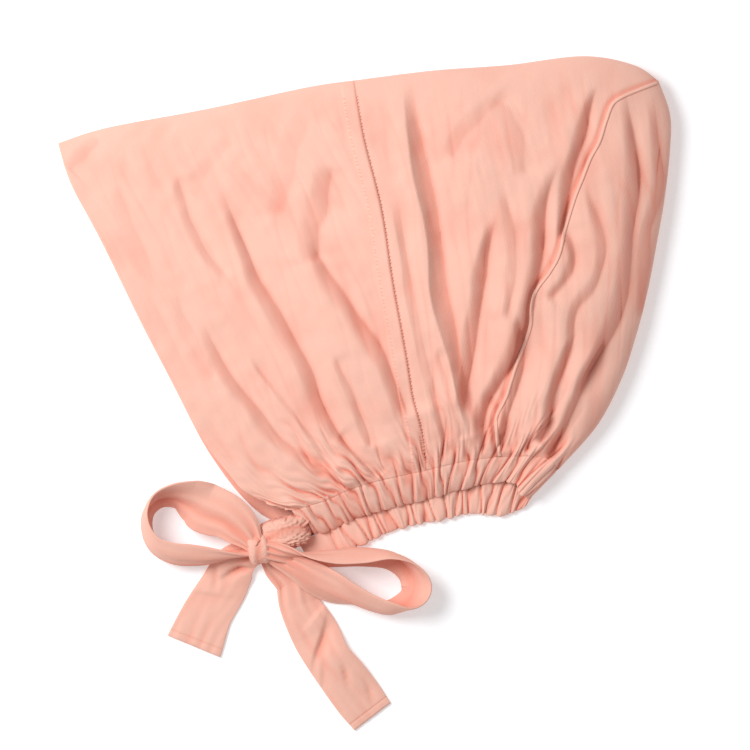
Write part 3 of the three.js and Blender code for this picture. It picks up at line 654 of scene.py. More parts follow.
def panel_piece(name, front):
    """One panel of the cap: a fine upper side and a coarser lower side, joined along their folded edges."""
    across = crowded(PANEL_COLUMNS, 1, 1 if front else BACK_CROWDING)
    up = crowded(PANEL_ROWS, NECK_CROWDING, CROWN_CROWDING)
    upper = panel_surface(front, True, *np.meshgrid(across, up, indexing="ij"))
    lower = panel_surface(front, False, *np.meshgrid(across[::COARSE], up[::COARSE], indexing="ij"))
    parts = [[part.reshape(-1, *part.shape[2:])] for part in upper]
    rows = PANEL_ROWS + 1
    lower_columns = PANEL_COLUMNS // COARSE
    lower_rows = PANEL_ROWS // COARSE
    ids = np.zeros((lower_columns + 1, lower_rows + 1), int)
    count = len(parts[0][0])
    for column, row in np.ndindex(ids.shape):
        if row == lower_rows or (column == lower_columns and not front):
            ids[column, row] = column * COARSE * rows + row * COARSE
            continue
        ids[column, row] = count
        count += 1
        for kept, part in zip(parts, lower):
            kept.append(part[column, row][None])
    faces = []
    for column, row in np.ndindex(PANEL_COLUMNS, PANEL_ROWS):
        here = column * rows + row
        faces.append([here, here + rows, here + rows + 1, here + 1])
    for column, row in np.ndindex(lower_columns, lower_rows):
        crown = [ids[column, row + 1], ids[column + 1, row + 1]]
        if row + 1 == lower_rows:
            crown = [rows * fine + PANEL_ROWS for fine in range(column * COARSE, (column + 1) * COARSE + 1)]
        back = [ids[column + 1, row]]
        if column + 1 == lower_columns and not front:
            fine_rows = range((row + 1) * COARSE - 1, row * COARSE - 1, -1)
            back = [PANEL_COLUMNS * rows + fine for fine in fine_rows]
        faces.append([int(corner) for corner in (ids[column, row], *crown, *back)])
    places, painted_shade, knit = (np.concatenate(part) for part in parts)
    walls = SEWN_WALL + (WALL - SEWN_WALL) * smooth_step(knit[:, 1] / SEWN_REACH)
    return sheet_solid(name, keep_off(places, KNOT, CROSSING), faces, painted_shade, knit, walls)


class Value:
    """A number that the nodes of a material work out from others."""

    def __init__(self, shader, socket):
        self.shader = shader
        self.socket = socket

    def work(self, operation, first, second):
        return self.shader.value("Math", {"operation": operation}, {0: first, 1: second})

    def __add__(self, other):
        return self.work("ADD", self, other)

    def __sub__(self, other):
        return self.work("SUBTRACT", self, other)

    def __rsub__(self, other):
        return self.work("SUBTRACT", other, self)

    def __mul__(self, other):
        return self.work("MULTIPLY", self, other)

    __radd__ = __add__
    __rmul__ = __mul__


MIX_FIRST, MIX_SECOND, MIX_RESULT = 6, 7, 2  # the colour sockets of a Mix node


class Shader:
    """A material and its nodes."""

    def __init__(self, name):
        self.material = bpy.data.materials.new(name)
        self.material.use_nodes = True
        self.tree = self.material.node_tree
        self.tree.nodes.clear()

    def node(self, kind, settings, sockets):
        made = self.tree.nodes.new("ShaderNode" + kind)
        for key, value in settings.items():
            setattr(made, key, value)
        for key, value in sockets.items():
            if isinstance(value, Value):
                value = value.socket
            if isinstance(value, bpy.types.NodeSocket):
                self.tree.links.new(value, made.inputs[key])
            else:
                made.inputs[key].default_value = value
        return made

    def value(self, kind, settings, sockets, output=0):
        return Value(self, self.node(kind, settings, sockets).outputs[output])

    def mix(self, factor, first, second):
        sockets = {"Factor": factor, MIX_FIRST: first, MIX_SECOND: second}
        return self.node("Mix", {"data_type": "RGBA"}, sockets).outputs[MIX_RESULT]

    def surface(self, sockets):
        made = self.node("BsdfPrincipled", {}, sockets)
        self.node("OutputMaterial", {}, {"Surface": made.outputs[0]})


LIGHT_PEACH = (0.88, 0.5, 0.4, 1)
# The colour of the painted shade in folds, creases, gathers and seams and on hidden sides; the cloth's
# random mottle leans towards it too.
SHADE_AND_MOTTLE_PEACH = (0.84, 0.27, 0.19, 1)
CREASE_PEACH = (0.4, 0.11, 0.08, 1)  # the deepest creases, where little light comes in
CREASE_START = 0.8
CREASE_GAIN = 2.6
RIB_PITCH = 0.8 * MM

# The cloth's unevenness from the broadest to the finest: its scale per metre and its detail. Then how much
# the painted shade of the folds, creases and gathers deepens the colour, how much each unevenness does, and
# how much each raises the surface.
MOTTLE = {"Scale": 60.0, "Detail": 4.0}
CREPE = {"Scale": 260.0, "Detail": 3.0}
GRAIN = {"Scale": 1400.0, "Detail": 2.0}
PAINTED_SHADE_WEIGHT, MOTTLE_COLOUR, GRAIN_COLOUR = 0.9, 0.3, 0.1
RIB_RELIEF, GRAIN_RELIEF, MOTTLE_RELIEF, CREPE_RELIEF = 0.3, 1.2, 0.4, 2.6


def jersey(name, light, shade_and_mottle_colour):
    """Fine cotton jersey: matt and soft, with painted shade that makes it deeper and redder in its folds,
    creases and gathers, and with the ribs of the knit.
    """
    shader = Shader(name)
    knit = shader.node("Attribute", {"attribute_name": "knit"}, {}).outputs["Vector"]
    painted_shade = shader.value("Attribute", {"attribute_name": "painted_shade"}, {}, "Fac")
    mottle, grain, crepe = (
        shader.value("TexNoise", {}, {"Vector": knit, **noise}) for noise in (MOTTLE, GRAIN, CREPE)
    )
    across = shader.value("SeparateXYZ", {}, {"Vector": knit})
    rib = shader.value("Math", {"operation": "SINE"}, {0: across * (2 * math.pi / RIB_PITCH)})
    # Painted shade: the colour is mixed towards the shaded one by the painted shade attribute, and towards
    # the crease colour where that is deepest.
    shade_and_mottle = painted_shade * PAINTED_SHADE_WEIGHT + (mottle - 0.5) * MOTTLE_COLOUR + (grain - 0.5) * GRAIN_COLOUR
    colour = shader.mix(shade_and_mottle, light, shade_and_mottle_colour)
    creased = shader.mix((painted_shade - CREASE_START) * CREASE_GAIN, colour, CREASE_PEACH)
    height = rib * RIB_RELIEF + grain * GRAIN_RELIEF + mottle * MOTTLE_RELIEF + crepe * CREPE_RELIEF
    bump = shader.node("Bump", {}, {"Strength": 0.3, "Distance": 0.2 * MM, "Height": height})
    shader.surface({
        "Base Color": creased,
        "Normal": bump.outputs[0],
        "Roughness": 0.82,
        "Specular IOR Level": 0.25,
        "Sheen Weight": 0.2,
        "Sheen Roughness": 0.45,
        "Sheen Tint": (1.0, 0.86, 0.8, 1),
    })
    return shader.material


def dressed(piece, material, node):
    """A piece of cloth that stands for its CAD node."""
    piece.data.materials.append(material)
    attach(piece, "root")
    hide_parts(node)


cap_jersey = jersey("cap_jersey", LIGHT_PEACH, SHADE_AND_MOTTLE_PEACH)
front_panel = panel_piece("front_panel_cloth", True)
dressed(front_panel, cap_jersey, "front_panel")

# Back panel
# The full back half: jersey gathered into the neck, closed along the crown and down the back. Its
# centre-back seam has come over to the upper side, so the cloth right of it belongs to the other half of
# the cap.

back_panel = panel_piece("back_panel_cloth", False)
dressed(back_panel, cap_jersey, "back_panel")

# Side seam stitches
# Two rows of short overlocked stitches: one crosses the seam, one on the front panel holds down the edge of
# the allowance. Cotton thread, darker than the jersey, its colour deepened by painted shade of the needle
# holes.

# The thread's colour, darkened by painted shade of the needle holes round the stitches.
THREAD_AND_HOLE_SHADE_PEACH = (0.83, 0.41, 0.31, 1)
THREAD_RADIUS = 0.28 * MM
THREAD_LIFT = 0.1 * MM
STITCH_ROWS = ((-0.6 * MM, 1.3 * MM, 1.9 * MM), (6.2 * MM, 7.4 * MM, 2.1 * MM))  # from, to, and pitch
STITCH_LEAN = 0.3  # how far a stitch leans along the seam, in pitches
STITCH_LEAN = 0.3  # how far a stitch leans along the seam, in pitches
STITCH_STRAY = 0.15  # how far it strays along it, in pitches, and how fast that changes
STRAY_RATE = 2.4
STITCHED_PART = (0.02, 0.97)
WALK_STEPS = 600
STITCH_SIDES = 6
STITCH_TAPER = (0.4, 1, 1, 0.4)


def side_seam_places(offset, up):
    """Places beside the side seam: at an offset on the front panel, or below zero on the back panel."""
    front = offset > 0
    _, _, _, width = panel_plan(front, True, np.full(up.shape, float(front)), up)
    across = 1 - offset / width if front else -offset / width
    return panel_surface(front, True, across, up)[0]


def round_turns(count):
    """The angles of so many places round a ring."""
    return 2 * math.pi * np.arange(count) / count


def loft_faces(count, sides):
    """The faces of a closed solid through rings that follow each other, with both ends capped."""
    faces = []
    for first in range(0, (count - 1) * sides, sides):
        for side in range(sides):
            here, beside_it = first + side, first + (side + 1) % sides
            faces.append([here, beside_it, beside_it + sides, here + sides])
    faces.append(list(range(sides))[::-1])
    faces.append(list(range((count - 1) * sides, count * sides)))
    return faces


def stitch_mesh(starts, ends):
    """A short tapered thread from each start to its end."""
    along = unit(ends - starts)
    aside = unit(np.cross(along, (0, 0, 1)))
    above = np.cross(aside, along)
    places = []
    faces = []
    rings = len(STITCH_TAPER)
    for start, end, side, lift in zip(starts, ends, aside, above):
        base = len(places)
        for ring, taper in enumerate(STITCH_TAPER):
            middle = start + (end - start) * ring / (rings - 1)
            for turn in round_turns(STITCH_SIDES):
                offset = (side * math.cos(turn) + lift * math.sin(turn)) * THREAD_RADIUS * taper
                places.append(middle + offset)
        faces += [[base + corner for corner in face] for face in loft_faces(rings, STITCH_SIDES)]
    return places, faces


def lofted(name, rings, painted_shade, knit):
    """A closed solid of cloth through rings of points."""
    count, sides = rings.shape[:2]
    painted_shade = np.clip(np.broadcast_to(painted_shade, (count, sides)), 0, 1).ravel()
    return cloth_object(name, rings.reshape(-1, 3), loft_faces(count, sides), painted_shade, knit.reshape(-1, 2))


starts, ends = [], []
for near, far, pitch in STITCH_ROWS:
    up = np.linspace(*STITCHED_PART, WALK_STEPS)
    near_line, far_line = (side_seam_places(offset, up) for offset in (near, far))
    lengths = lengths_along(near_line)
    for kept, seam_line, lean in ((starts, near_line, 0), (ends, far_line, STITCH_LEAN)):
        at = np.arange(0, lengths[-1] - pitch, pitch)
        at = at + (lean + STITCH_STRAY * np.sin(np.arange(len(at)) * STRAY_RATE)) * pitch
        kept.append(places_along(seam_line, lengths, at) + (0, 0, THREAD_LIFT))
thread_places, thread_faces = stitch_mesh(np.vstack(starts), np.vstack(ends))
thread_mesh = bpy.data.meshes.new("side_seam_stitches")
thread_mesh.from_pydata([tuple(place) for place in thread_places], [], thread_faces)
thread_mesh.shade_smooth()
thread = Shader("cotton_thread")
thread.surface({"Base Color": THREAD_AND_HOLE_SHADE_PEACH, "Roughness": 0.7, "Sheen Weight": 0.2})
thread_mesh.materials.append(thread.material)
stitches = bpy.data.objects.new("side_seam_stitches", thread_mesh)
bpy.context.collection.objects.link(stitches)
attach(stitches, "root")

# Centre-back seam
# The back panel's two halves are joined in a narrow seam that stands up like a thin cord from the crown's
# back corner to the neck. Same jersey.

WELT_WIDTH = 2 * MM
WELT_RISE = 0.9 * MM
WELT_DEPTH = 0.3 * MM
WELT_COLUMNS = 420
WELT_SIDES = 12
WELT_SHADE = 0.2
SEARCH_STEPS = 30


def panel_shares(front, x, y):
    """Where on a panel's upper side each plan place is, found step by step."""
    across = np.full(x.shape, 0.5)
    up = np.full(x.shape, 0.5)
    for _ in range(SEARCH_STEPS):
        found_x, found_y, depth, width = panel_plan(front, True, across, up)
        across = np.clip(across + (x - found_x) / width, 0, 1)
        up = np.clip(up + (y - found_y) / depth, 0, 1)
    return across, up


seam_line = plan_points(CENTRE_BACK)
lengths = lengths_along(seam_line)
at = np.linspace(0, lengths[-1], WELT_COLUMNS)
seam_line = places_along(seam_line, lengths, at)
heading = np.gradient(seam_line, axis=0)
aside = unit(np.stack([-heading[:, 1], heading[:, 0]], -1))
turn = round_turns(WELT_SIDES)
spread = seam_line[:, None] + aside[:, None] * (WELT_WIDTH / 2 * np.cos(turn))[None, :, None]
welt_rings, _, _ = panel_surface(False, True, *panel_shares(False, spread[..., 0], spread[..., 1]))
welt_rings[..., 2] += np.where(np.sin(turn) > 0, WELT_RISE, WELT_DEPTH) * np.sin(turn)
welt_knit = np.stack(np.broadcast_arrays(WELT_WIDTH * turn[None], at[:, None]), -1)
# Painted shade on the lower side of the seam's cord.
welt = lofted("centre_back_seam", welt_rings, WELT_SHADE * np.clip(-np.cos(turn), 0, 1), welt_knit)
welt.data.materials.append(cap_jersey)
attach(welt, "root")

# Neck casing
# A tube of the same jersey over the neck's elastic, which gathers it into pleats. It hangs from the upper
# side's neck edge, turns round the back corner, and comes back along the lower side's.

CASING_WIDTH = 16 * MM
CASING_THICKNESS = 4 * MM
CASING_BLUNT = (0.08, 0.68)  # how round its section is at the top and at the bottom: 1 is a circle
CASING_LEAN = (0.55, -0.8)  # how far it leans as it hangs, at the face and at the back, in lengths down
LEAN_CHANGE = 0.2  # how much more the upper side leans at the back, and the lower side less
LEAN_POWER = 1.6
CASING_DROOP = 6 * MM  # how far the upper side's casing hangs towards the table
DROOP_REACH = 0.2
DROOP_POWER = 1.5
SEEN_START = 0.6  # how far round the section the side that is seen reaches
HIDDEN_RELIEF = 0.15  # how much of the pleats' height is left on the side that isn't seen
TOP_RELIEF = 0.5  # how much of it is left at the top where the edge isn't free
HEM_CALM = 0.3  # how much of it is lost at the hem
CASING_SHADE = 2.6
SCALLOP = 1.8 * MM  # how far the pleats draw the hem out, how near to the hem they do, and from which level
SCALLOP_RATE = 1.4
SCALLOP_LEVEL = 0.4
LAP = 2 * MM  # how far its top is sewn under the panel
LAP_SHARE = 0.036
LAP_POWER = 4
LAP_DROP = 0.32 * MM
CORNER_REACH = 0.05  # at the back corner the casing is folded flat and tucked in, in shares of the neck
CORNER_TUCK = 1.3 * MM
CORNER_THINNING = 0.45
CORNER_SWELL = 0.1  # how much wider it is at the corner
TURN_SHARE = 1.05  # where the side that is seen changes, just past the back corner
TURN_REACH = 0.02
TURN_MIDDLE = 0.97  # small pleats run over the turn here: so many per share of the neck, and so high
TURN_PLEATS = 42
TURN_RISE = 1.3 * MM
TURN_SLANT = 0.5
TURN_SHARPNESS = 0.6
TURN_LEVEL = 0.7
TURN_VALLEY = 0.55
TURN_SHADE = 2
NEAR_SWELL = 0.4  # how much wider the upper side's casing is near the corner, where it closes the mouth
NEAR_SHARE = 0.96
NEAR_SPREAD = 0.06
BACK_SWELL = 0.25  # how much wider the lower side's casing is near the back corner
SWELL_SHARE = 1.15
SWELL_SPREAD = 0.12
END_WIDTH = 0.7  # how wide the lower side's end is, where a tie comes out, and how far back that starts
END_REACH = 0.06
CASING_COLUMNS = 720
CASING_CROWDING = 1.15  # how crowded the columns are at the back corner
CASING_SIDES = 44
TANGENT_STEP = 0.03


def blunt(value, power):
    """A power of a value that keeps its sign."""
    return np.sign(value) * np.abs(value) ** power


def neck_edge(share):
    """Places of the neck edge, on the upper side to 1 and on the lower to 2, and how free each is."""
    places = np.zeros((len(share), 3))
    freedom = np.zeros(len(share))
    along = np.where(share <= 1, share, 2 - share)
    for upper, front in ((True, True), (True, False), (False, True), (False, False)):
        chosen = ((share <= 1) == upper) & ((along < 0.5) == front)
        across = 2 * along[chosen] - (0 if front else 1)
        up = np.zeros(across.shape)
        x, y, depth, width = panel_plan(front, upper, across, up)
        z, freedom[chosen] = bare_height(front, upper, across, up, depth, width)
        near_back = np.minimum(1, (1 - along[chosen]) * width / NOSE_BACK)
        z = z + CASING_THICKNESS / 2 * (-1 if upper else 1) * near_back
        places[chosen] = np.stack([x + PLAN_CORNER[0], y + PLAN_CORNER[1], z], -1)
    return places, freedom


even = np.linspace(-1, 1, CASING_COLUMNS + 1)
share = 1 + blunt(even, CASING_CROWDING)
edge_places, freedom = neck_edge(share)
ahead, behind = (neck_edge(np.clip(share + step, 0, 2))[0] for step in (TANGENT_STEP, -TANGENT_STEP))
along_neck, share, freedom = (values[:, None] for values in (lengths_along(edge_places), share, freedom))

# Which way it hangs, and how wide it is
facing = np.tanh((TURN_SHARE - share) / TURN_REACH)  # 1 where its outer side is seen, -1 for its inner side
corner = bell(share, 1, CORNER_REACH)
to_back = np.where(share <= 1, share, 2 - share) ** LEAN_POWER
lean = CASING_LEAN[0] + (CASING_LEAN[1] - LEAN_CHANGE * facing - CASING_LEAN[0]) * to_back
down = unit(np.concatenate([lean, -np.ones(lean.shape), np.zeros(lean.shape)], -1))
out = unit(np.cross(down, unit(ahead - behind)))
angle = round_turns(CASING_SIDES)[None]
downward = (1 + np.cos(angle)) / 2
rise, _ = pleat(share, -downward * CASING_WIDTH)
width = CASING_WIDTH - SEW_GAP + SCALLOP * (rise * smooth_step(downward * SCALLOP_RATE) - SCALLOP_LEVEL)
near_swell = NEAR_SWELL * bell(share, NEAR_SHARE, NEAR_SPREAD) * np.clip(facing, 0, 1)
back_swell = BACK_SWELL * bell(share, SWELL_SHARE, SWELL_SPREAD)
width = width * (1 + CORNER_SWELL * corner + back_swell + near_swell)
width = width * (END_WIDTH + (1 - END_WIDTH) * smooth_step((2 - share) / END_REACH))

# Its thickness and its pleats
bulge = blunt(np.sin(angle), CASING_BLUNT[0] + (CASING_BLUNT[1] - CASING_BLUNT[0]) * downward)
seen = np.clip(facing * bulge + SEEN_START, 0, 1)
relief = PLEAT_RISE * (rise - PLEAT_LEVEL) * (HIDDEN_RELIEF + (1 - HIDDEN_RELIEF) * seen)
relief = relief * (1 - HEM_CALM * downward)
at_turn = bell(share, TURN_MIDDLE, CORNER_REACH)
turn_pleats = np.abs(np.sin(share * math.pi * TURN_PLEATS + TURN_SLANT * downward)) ** TURN_SHARPNESS
relief = relief + TURN_RISE * (turn_pleats - TURN_LEVEL) * at_turn
pleated = freedom + (1 - freedom) * (TOP_RELIEF + (1 - TOP_RELIEF) * downward)
height = CASING_THICKNESS / 2 * (1 - CORNER_THINNING * corner) * bulge + facing * pleated * relief
lapped = np.exp(-((downward / LAP_SHARE) ** LAP_POWER)) * np.clip(facing, 0, 1)
height = height - CORNER_TUCK * corner - LAP_DROP * lapped * seen

middle = edge_places[:, None] + down[:, None] * (SEW_GAP + width * downward - LAP * lapped)[..., None]
droop = smooth_step((1 - share) / DROOP_REACH) * CASING_DROOP * downward**DROOP_POWER
middle[..., 2] = np.maximum(middle[..., 2] - droop, CASING_THICKNESS / 2)
rings = middle + out[:, None] * height[..., None]
rings[..., 2] = np.maximum(rings[..., 2], 0)
# Painted shade in the valleys between the pleats, and between the small pleats over the turn.
casing_painted_shade = np.clip(VALLEY_LEVEL - rise, 0, 1) * CASING_SHADE
casing_painted_shade = casing_painted_shade + np.clip(TURN_VALLEY - turn_pleats, 0, 1) * TURN_SHADE * at_turn
casing_knit = np.stack(np.broadcast_arrays(along_neck, downward * CASING_WIDTH), -1)
neck_casing = lofted("neck_casing_cloth", keep_off(rings, KNOT, CROSSING), casing_painted_shade, casing_knit)
dressed(neck_casing, cap_jersey, "neck_casing")

# Knot and crossing
# The ties come out of the casing's ends, cross in a bunch, and one is wrapped once round the other: a short
# smooth wrap over a rough bunch of pleats. Same jersey, pulled tight.

LIGHT_TIE = (0.87, 0.485, 0.385, 1)
# The colour of the ties' painted shade in folds, gathers and inner faces; their random mottle leans towards
# it too.
SHADE_AND_MOTTLE_TIE = (0.82, 0.26, 0.18, 1)
tie_jersey = jersey("tie_jersey", LIGHT_TIE, SHADE_AND_MOTTLE_TIE)
LUMP_BLUNT = 0.65
LUMP_FILL = 1.06
RIDGE_WAVER = 0.12
RIDGE_SHARPNESS = 0.7
RIDGE_REACH = 1.5  # how soon the ridges end towards the lump's two ends
RIDGE_SHADE = 0.8  # the shade between the ridges, and where on their sides it starts
RIDGE_VALLEY = (1.1, 1.3)
SKIN_SIZE = 2.3 * MM
SKIN_SLANT = (0.4, 0.7)  # how the skin's wrinkles lean, across and along, on the way up
SKIN_WAVES = 30
SKIN_SHADE = 0.35
LUMP_ROWS = 72
LUMP_SIDES = 96


def lump_piece(name, lump, axis, ridges, depth, rough, seed):
    """A bunch of cloth: a blunt ball with ridges that run round the given axis, and a rough skin."""
    middle, half, axes = lump_frame(lump)
    polar = math.pi * np.arange(LUMP_ROWS + 1) / LUMP_ROWS
    polar, turn = np.meshgrid(polar, round_turns(LUMP_SIDES), indexing="ij")
    radius = blunt(np.sin(polar), LUMP_BLUNT)
    ball = [blunt(np.cos(polar), LUMP_BLUNT), radius * np.cos(turn), radius * np.sin(turn)]
    order = {0: (0, 1, 2), 1: (2, 0, 1)}[axis]
    local = np.stack([ball[column] for column in order], -1) * half
    waver = RIDGE_WAVER * np.sin(2 * turn + seed) * np.sin(polar)
    ridge = np.abs(np.sin(ridges * (np.cos(polar) + waver) * math.pi / 2)) ** RIDGE_SHARPNESS
    across, along, up = np.moveaxis(local, -1, 0)
    skin = ripple(across + SKIN_SLANT[0] * up, along + SKIN_SLANT[1] * up, SKIN_SIZE, seed, SKIN_WAVES)
    inset = depth * (ridge - 1) * np.sin(polar) ** RIDGE_REACH + rough * (skin - 0.5)
    scale = 1 + inset * MM / half.min()
    places = local * LUMP_FILL * scale[..., None] @ axes + middle
    places[..., 2] = np.maximum(places[..., 2], 0)
    # Painted shade between the ridges and in the skin's low parts.
    painted_shade = np.clip(RIDGE_VALLEY[0] - RIDGE_VALLEY[1] * ridge, 0, 1) * RIDGE_SHADE
    painted_shade = painted_shade + np.clip(-skin, 0, 1) * SKIN_SHADE * rough
    knit = np.stack([turn * half[1], polar * half[0]], -1)
    return lofted(name, places, painted_shade, knit)


bow_knot = lump_piece("bow_knot_cloth", KNOT, axis=0, ridges=2, depth=0.6, rough=0.1, seed=3)
dressed(bow_knot, tie_jersey, "bow_knot")
tie_crossing = lump_piece("tie_crossing_cloth", CROSSING, axis=1, ridges=2, depth=0.35, rough=0.5, seed=4)
dressed(tie_crossing, tie_jersey, "tie_crossing")

# Bow
# Two loops and two tails of one flat tie: a sewn tube of jersey, about 28 mm wide, that gathers where it
# goes into the knot. The loops stand on their edges; the tails lie on the table.

TIE_WIDTH = 28 * MM
TIE_THICKNESS = 2.2 * MM
TIE_SIDES = 56
TIE_HEM = 4 * MM
RIM_POWER = 0.45  # how blunt its two edges are: 1 is a round one
GATHERED_THINNING = 0.3
COMB_RISE = 1.1 * MM  # the small pleats where it is gathered at the knot
COMB_STRAY = 0.06
COMB_STRAY_RATE = 9
COMB_SHADE = (0.55, 0.3)  # in their valleys, and all over
SOFT_RISE = 0.35 * MM  # the soft waves of the rest
SOFT_SIZE = 14 * MM
SOFT_STRETCH = (1.2, 0.35)
SOFT_SHADE = 0.25
RIM_CALM = 6  # how close to the edges both of them end
FURROW_SPREAD = 0.2  # how wide a loop's lengthwise crease is, across the tie, and how soon it fades
FURROW_FADE = 9
FURROW_SHADE = 0.5
END_ROUNDING = 1.2 * MM
END_THICKNESS = 0.15
HEM_WIDTH = 0.5 * MM
HEM_DEPTH = 0.3 * MM
LIGHT_SHADE = 0.25  # of the hem and of a dent
INNER_FACE_SHADE = 0.4  # how much painted shade the inside of a loop gets, where the tie stands on its edge
STEEP_SHARE = 0.3  # how wide a dent's steep side is, as a share of the other

# Columns: x and y in shares of the piece's reach from the knot; the height of the middle, the width and the
# cup in shares of the tie's width; and the turn from flat, in degrees, second from the end.
LEFT_LOOP = [
    (-0.02, 0.02, 0.5, 0.36, 0, 0), (-0.13, 0.155, 0.52, 0.72, -4, 0.03),
    (-0.26, 0.265, 0.5, 0.88, -8, 0.05),
    (-0.45, 0.34, 0.43, 1, -10, 0.05), (-0.57, 0.4, 0.4, 0.95, -30, 0.02),
    (-0.71, 0.44, 0.38, 0.82, -54, 0),
    (-0.845, 0.41, 0.36, 0.74, -66, -0.06), (-0.93, 0.3, 0.35, 0.68, -80, -0.1),
    (-0.93, 0.16, 0.35, 0.64, -90, -0.14), (-0.86, 0.035, 0.35, 0.62, -98, -0.2),
    (-0.72, -0.035, 0.36, 0.62, -104, -0.24), (-0.55, -0.05, 0.36, 0.6, -104, -0.24),
    (-0.36, -0.05, 0.37, 0.5, -98, -0.16), (-0.07, -0.03, 0.36, 0.32, -70, 0),
]
RIGHT_LOOP = [
    (0.04, 0, 0.54, 0.36, 0, 0), (0.15, -0.03, 0.52, 0.42, 35, 0), (0.264, -0.056, 0.48, 0.52, 66, -0.12),
    (0.427, -0.058, 0.42, 0.62, 82, -0.24), (0.6, -0.052, 0.38, 0.64, 82, -0.26),
    (0.755, -0.062, 0.37, 0.66, 68, -0.2), (0.86, -0.13, 0.35, 0.7, 50, -0.1),
    (0.898, -0.22, 0.34, 0.74, 38, -0.05), (0.862, -0.292, 0.34, 0.72, 52, -0.1),
    (0.76, -0.325, 0.36, 0.66, 84, -0.2), (0.65, -0.308, 0.35, 0.68, 104, -0.14),
    (0.54, -0.27, 0.34, 0.74, 122, -0.06), (0.43, -0.225, 0.33, 0.8, 138, 0),
    (0.32, -0.17, 0.33, 0.7, 152, 0),
    (0.2, -0.1, 0.35, 0.48, 166, 0), (0.05, -0.03, 0.36, 0.3, 180, 0),
]
SHORT_TAIL = [
    (-0.05, -0.03, 0.15, 0.5, 0, 0), (-0.19, -0.13, 0.13, 0.8, 0, 0.05),
    (-0.306, -0.34, 0.03, 0.92, 0, 0.03),
    (-0.436, -0.555, 0, 0.97, 0, 0), (-0.55, -0.83, 0, 1.1, 0, 0),
]
LONG_TAIL = [
    (0.045, -0.025, 0.15, 0.42, 0, 0), (0.1, -0.09, 0.13, 0.62, 4, 0.04),
    (0.178, -0.171, 0.1, 0.76, 6, 0.05),
    (0.2075, -0.289, 0.03, 0.8, 0, 0.04), (0.282, -0.429, 0, 0.93, 0, 0.02),
    (0.35, -0.558, 0.02, 0.88, 6, 0.06), (0.425, -0.655, 0.02, 0.93, 4, 0.04),
    (0.506, -0.763, 0.01, 0.94, 0, 0.02), (0.573, -0.851, 0, 0.88, 0, 0),
]

# Dents of the tails. Columns: the share of the length and the side from -1 to 1 where its middle is; how
# deep, wide and long it is, in mm; and how far it leans from straight across, in degrees.
SHORT_DENTS = [(0.27, 0.2, 3.4, 3, 9, 61), (0.62, -0.3, 0.8, 6, 12, 23), (0.42, -0.5, 1.2, 2.5, 8, -60)]
LONG_DENTS = [
    (0.55, 0, 2.6, 3.4, 10, 40), (0.74, 0.15, 1.4, 2.4, 6, 66), (0.2, -0.7, 1.8, 2, 14, 86),
    (0.66, -0.5, 1, 4, 9, 52), (0.45, 0.4, -1.2, 5, 9, 17), (0.87, 0.5, 0.8, 3, 7, 70),
]


def tie_path(points, count):
    """Places and directions along the centripetal Catmull-Rom curve through a tie's rows."""
    padded = np.vstack([2 * points[0] - points[1], points, 2 * points[-1] - points[-2]])
    at = np.linspace(0, 1, count) * (len(points) - 1)
    index = np.minimum(at.astype(int), len(points) - 2)
    part = (at - index)[:, None]
    four = [padded[index + step] for step in range(4)]
    before, start, end, after = four
    step_in, step, step_out = (
        np.sqrt(np.linalg.norm(there - here, axis=1))[:, None] for here, there in zip(four, four[1:])
    )
    slope_in = (start - before) / step_in - (end - before) / (step_in + step) + (end - start) / step
    slope_out = (end - start) / step - (after - start) / (step + step_out) + (after - end) / step_out
    slope_in, slope_out = slope_in * step, slope_out * step
    square = -3 * start + 3 * end - 2 * slope_in - slope_out
    cube = 2 * start - 2 * end + slope_in + slope_out
    places = start + part * (slope_in + part * (square + part * cube))
    return places, unit(slope_in + part * (2 * square + 3 * part * cube))


def dented(dents, share, side, length, width):
    """How far the dents take a tie's side down, and how much painted shade each place gets in one."""
    drop = 0
    painted_shade = 0
    for place, middle, depth, across_size, along_size, lean in dents:
        spot = (share - place) * length
        off = (side - middle) * width / 2
        lean = math.radians(lean)
        across = off * math.sin(lean) + spot * math.cos(lean)
        along = off * math.cos(lean) - spot * math.sin(lean)
        steep = np.where(across > 0, 1, STEEP_SHARE) * across_size * MM
        dent = bell(across, 0, steep) * bell(along, 0, along_size * MM)
        drop = drop + depth * MM * dent
        painted_shade = painted_shade + LIGHT_SHADE * depth * dent**2
    return drop, painted_shade


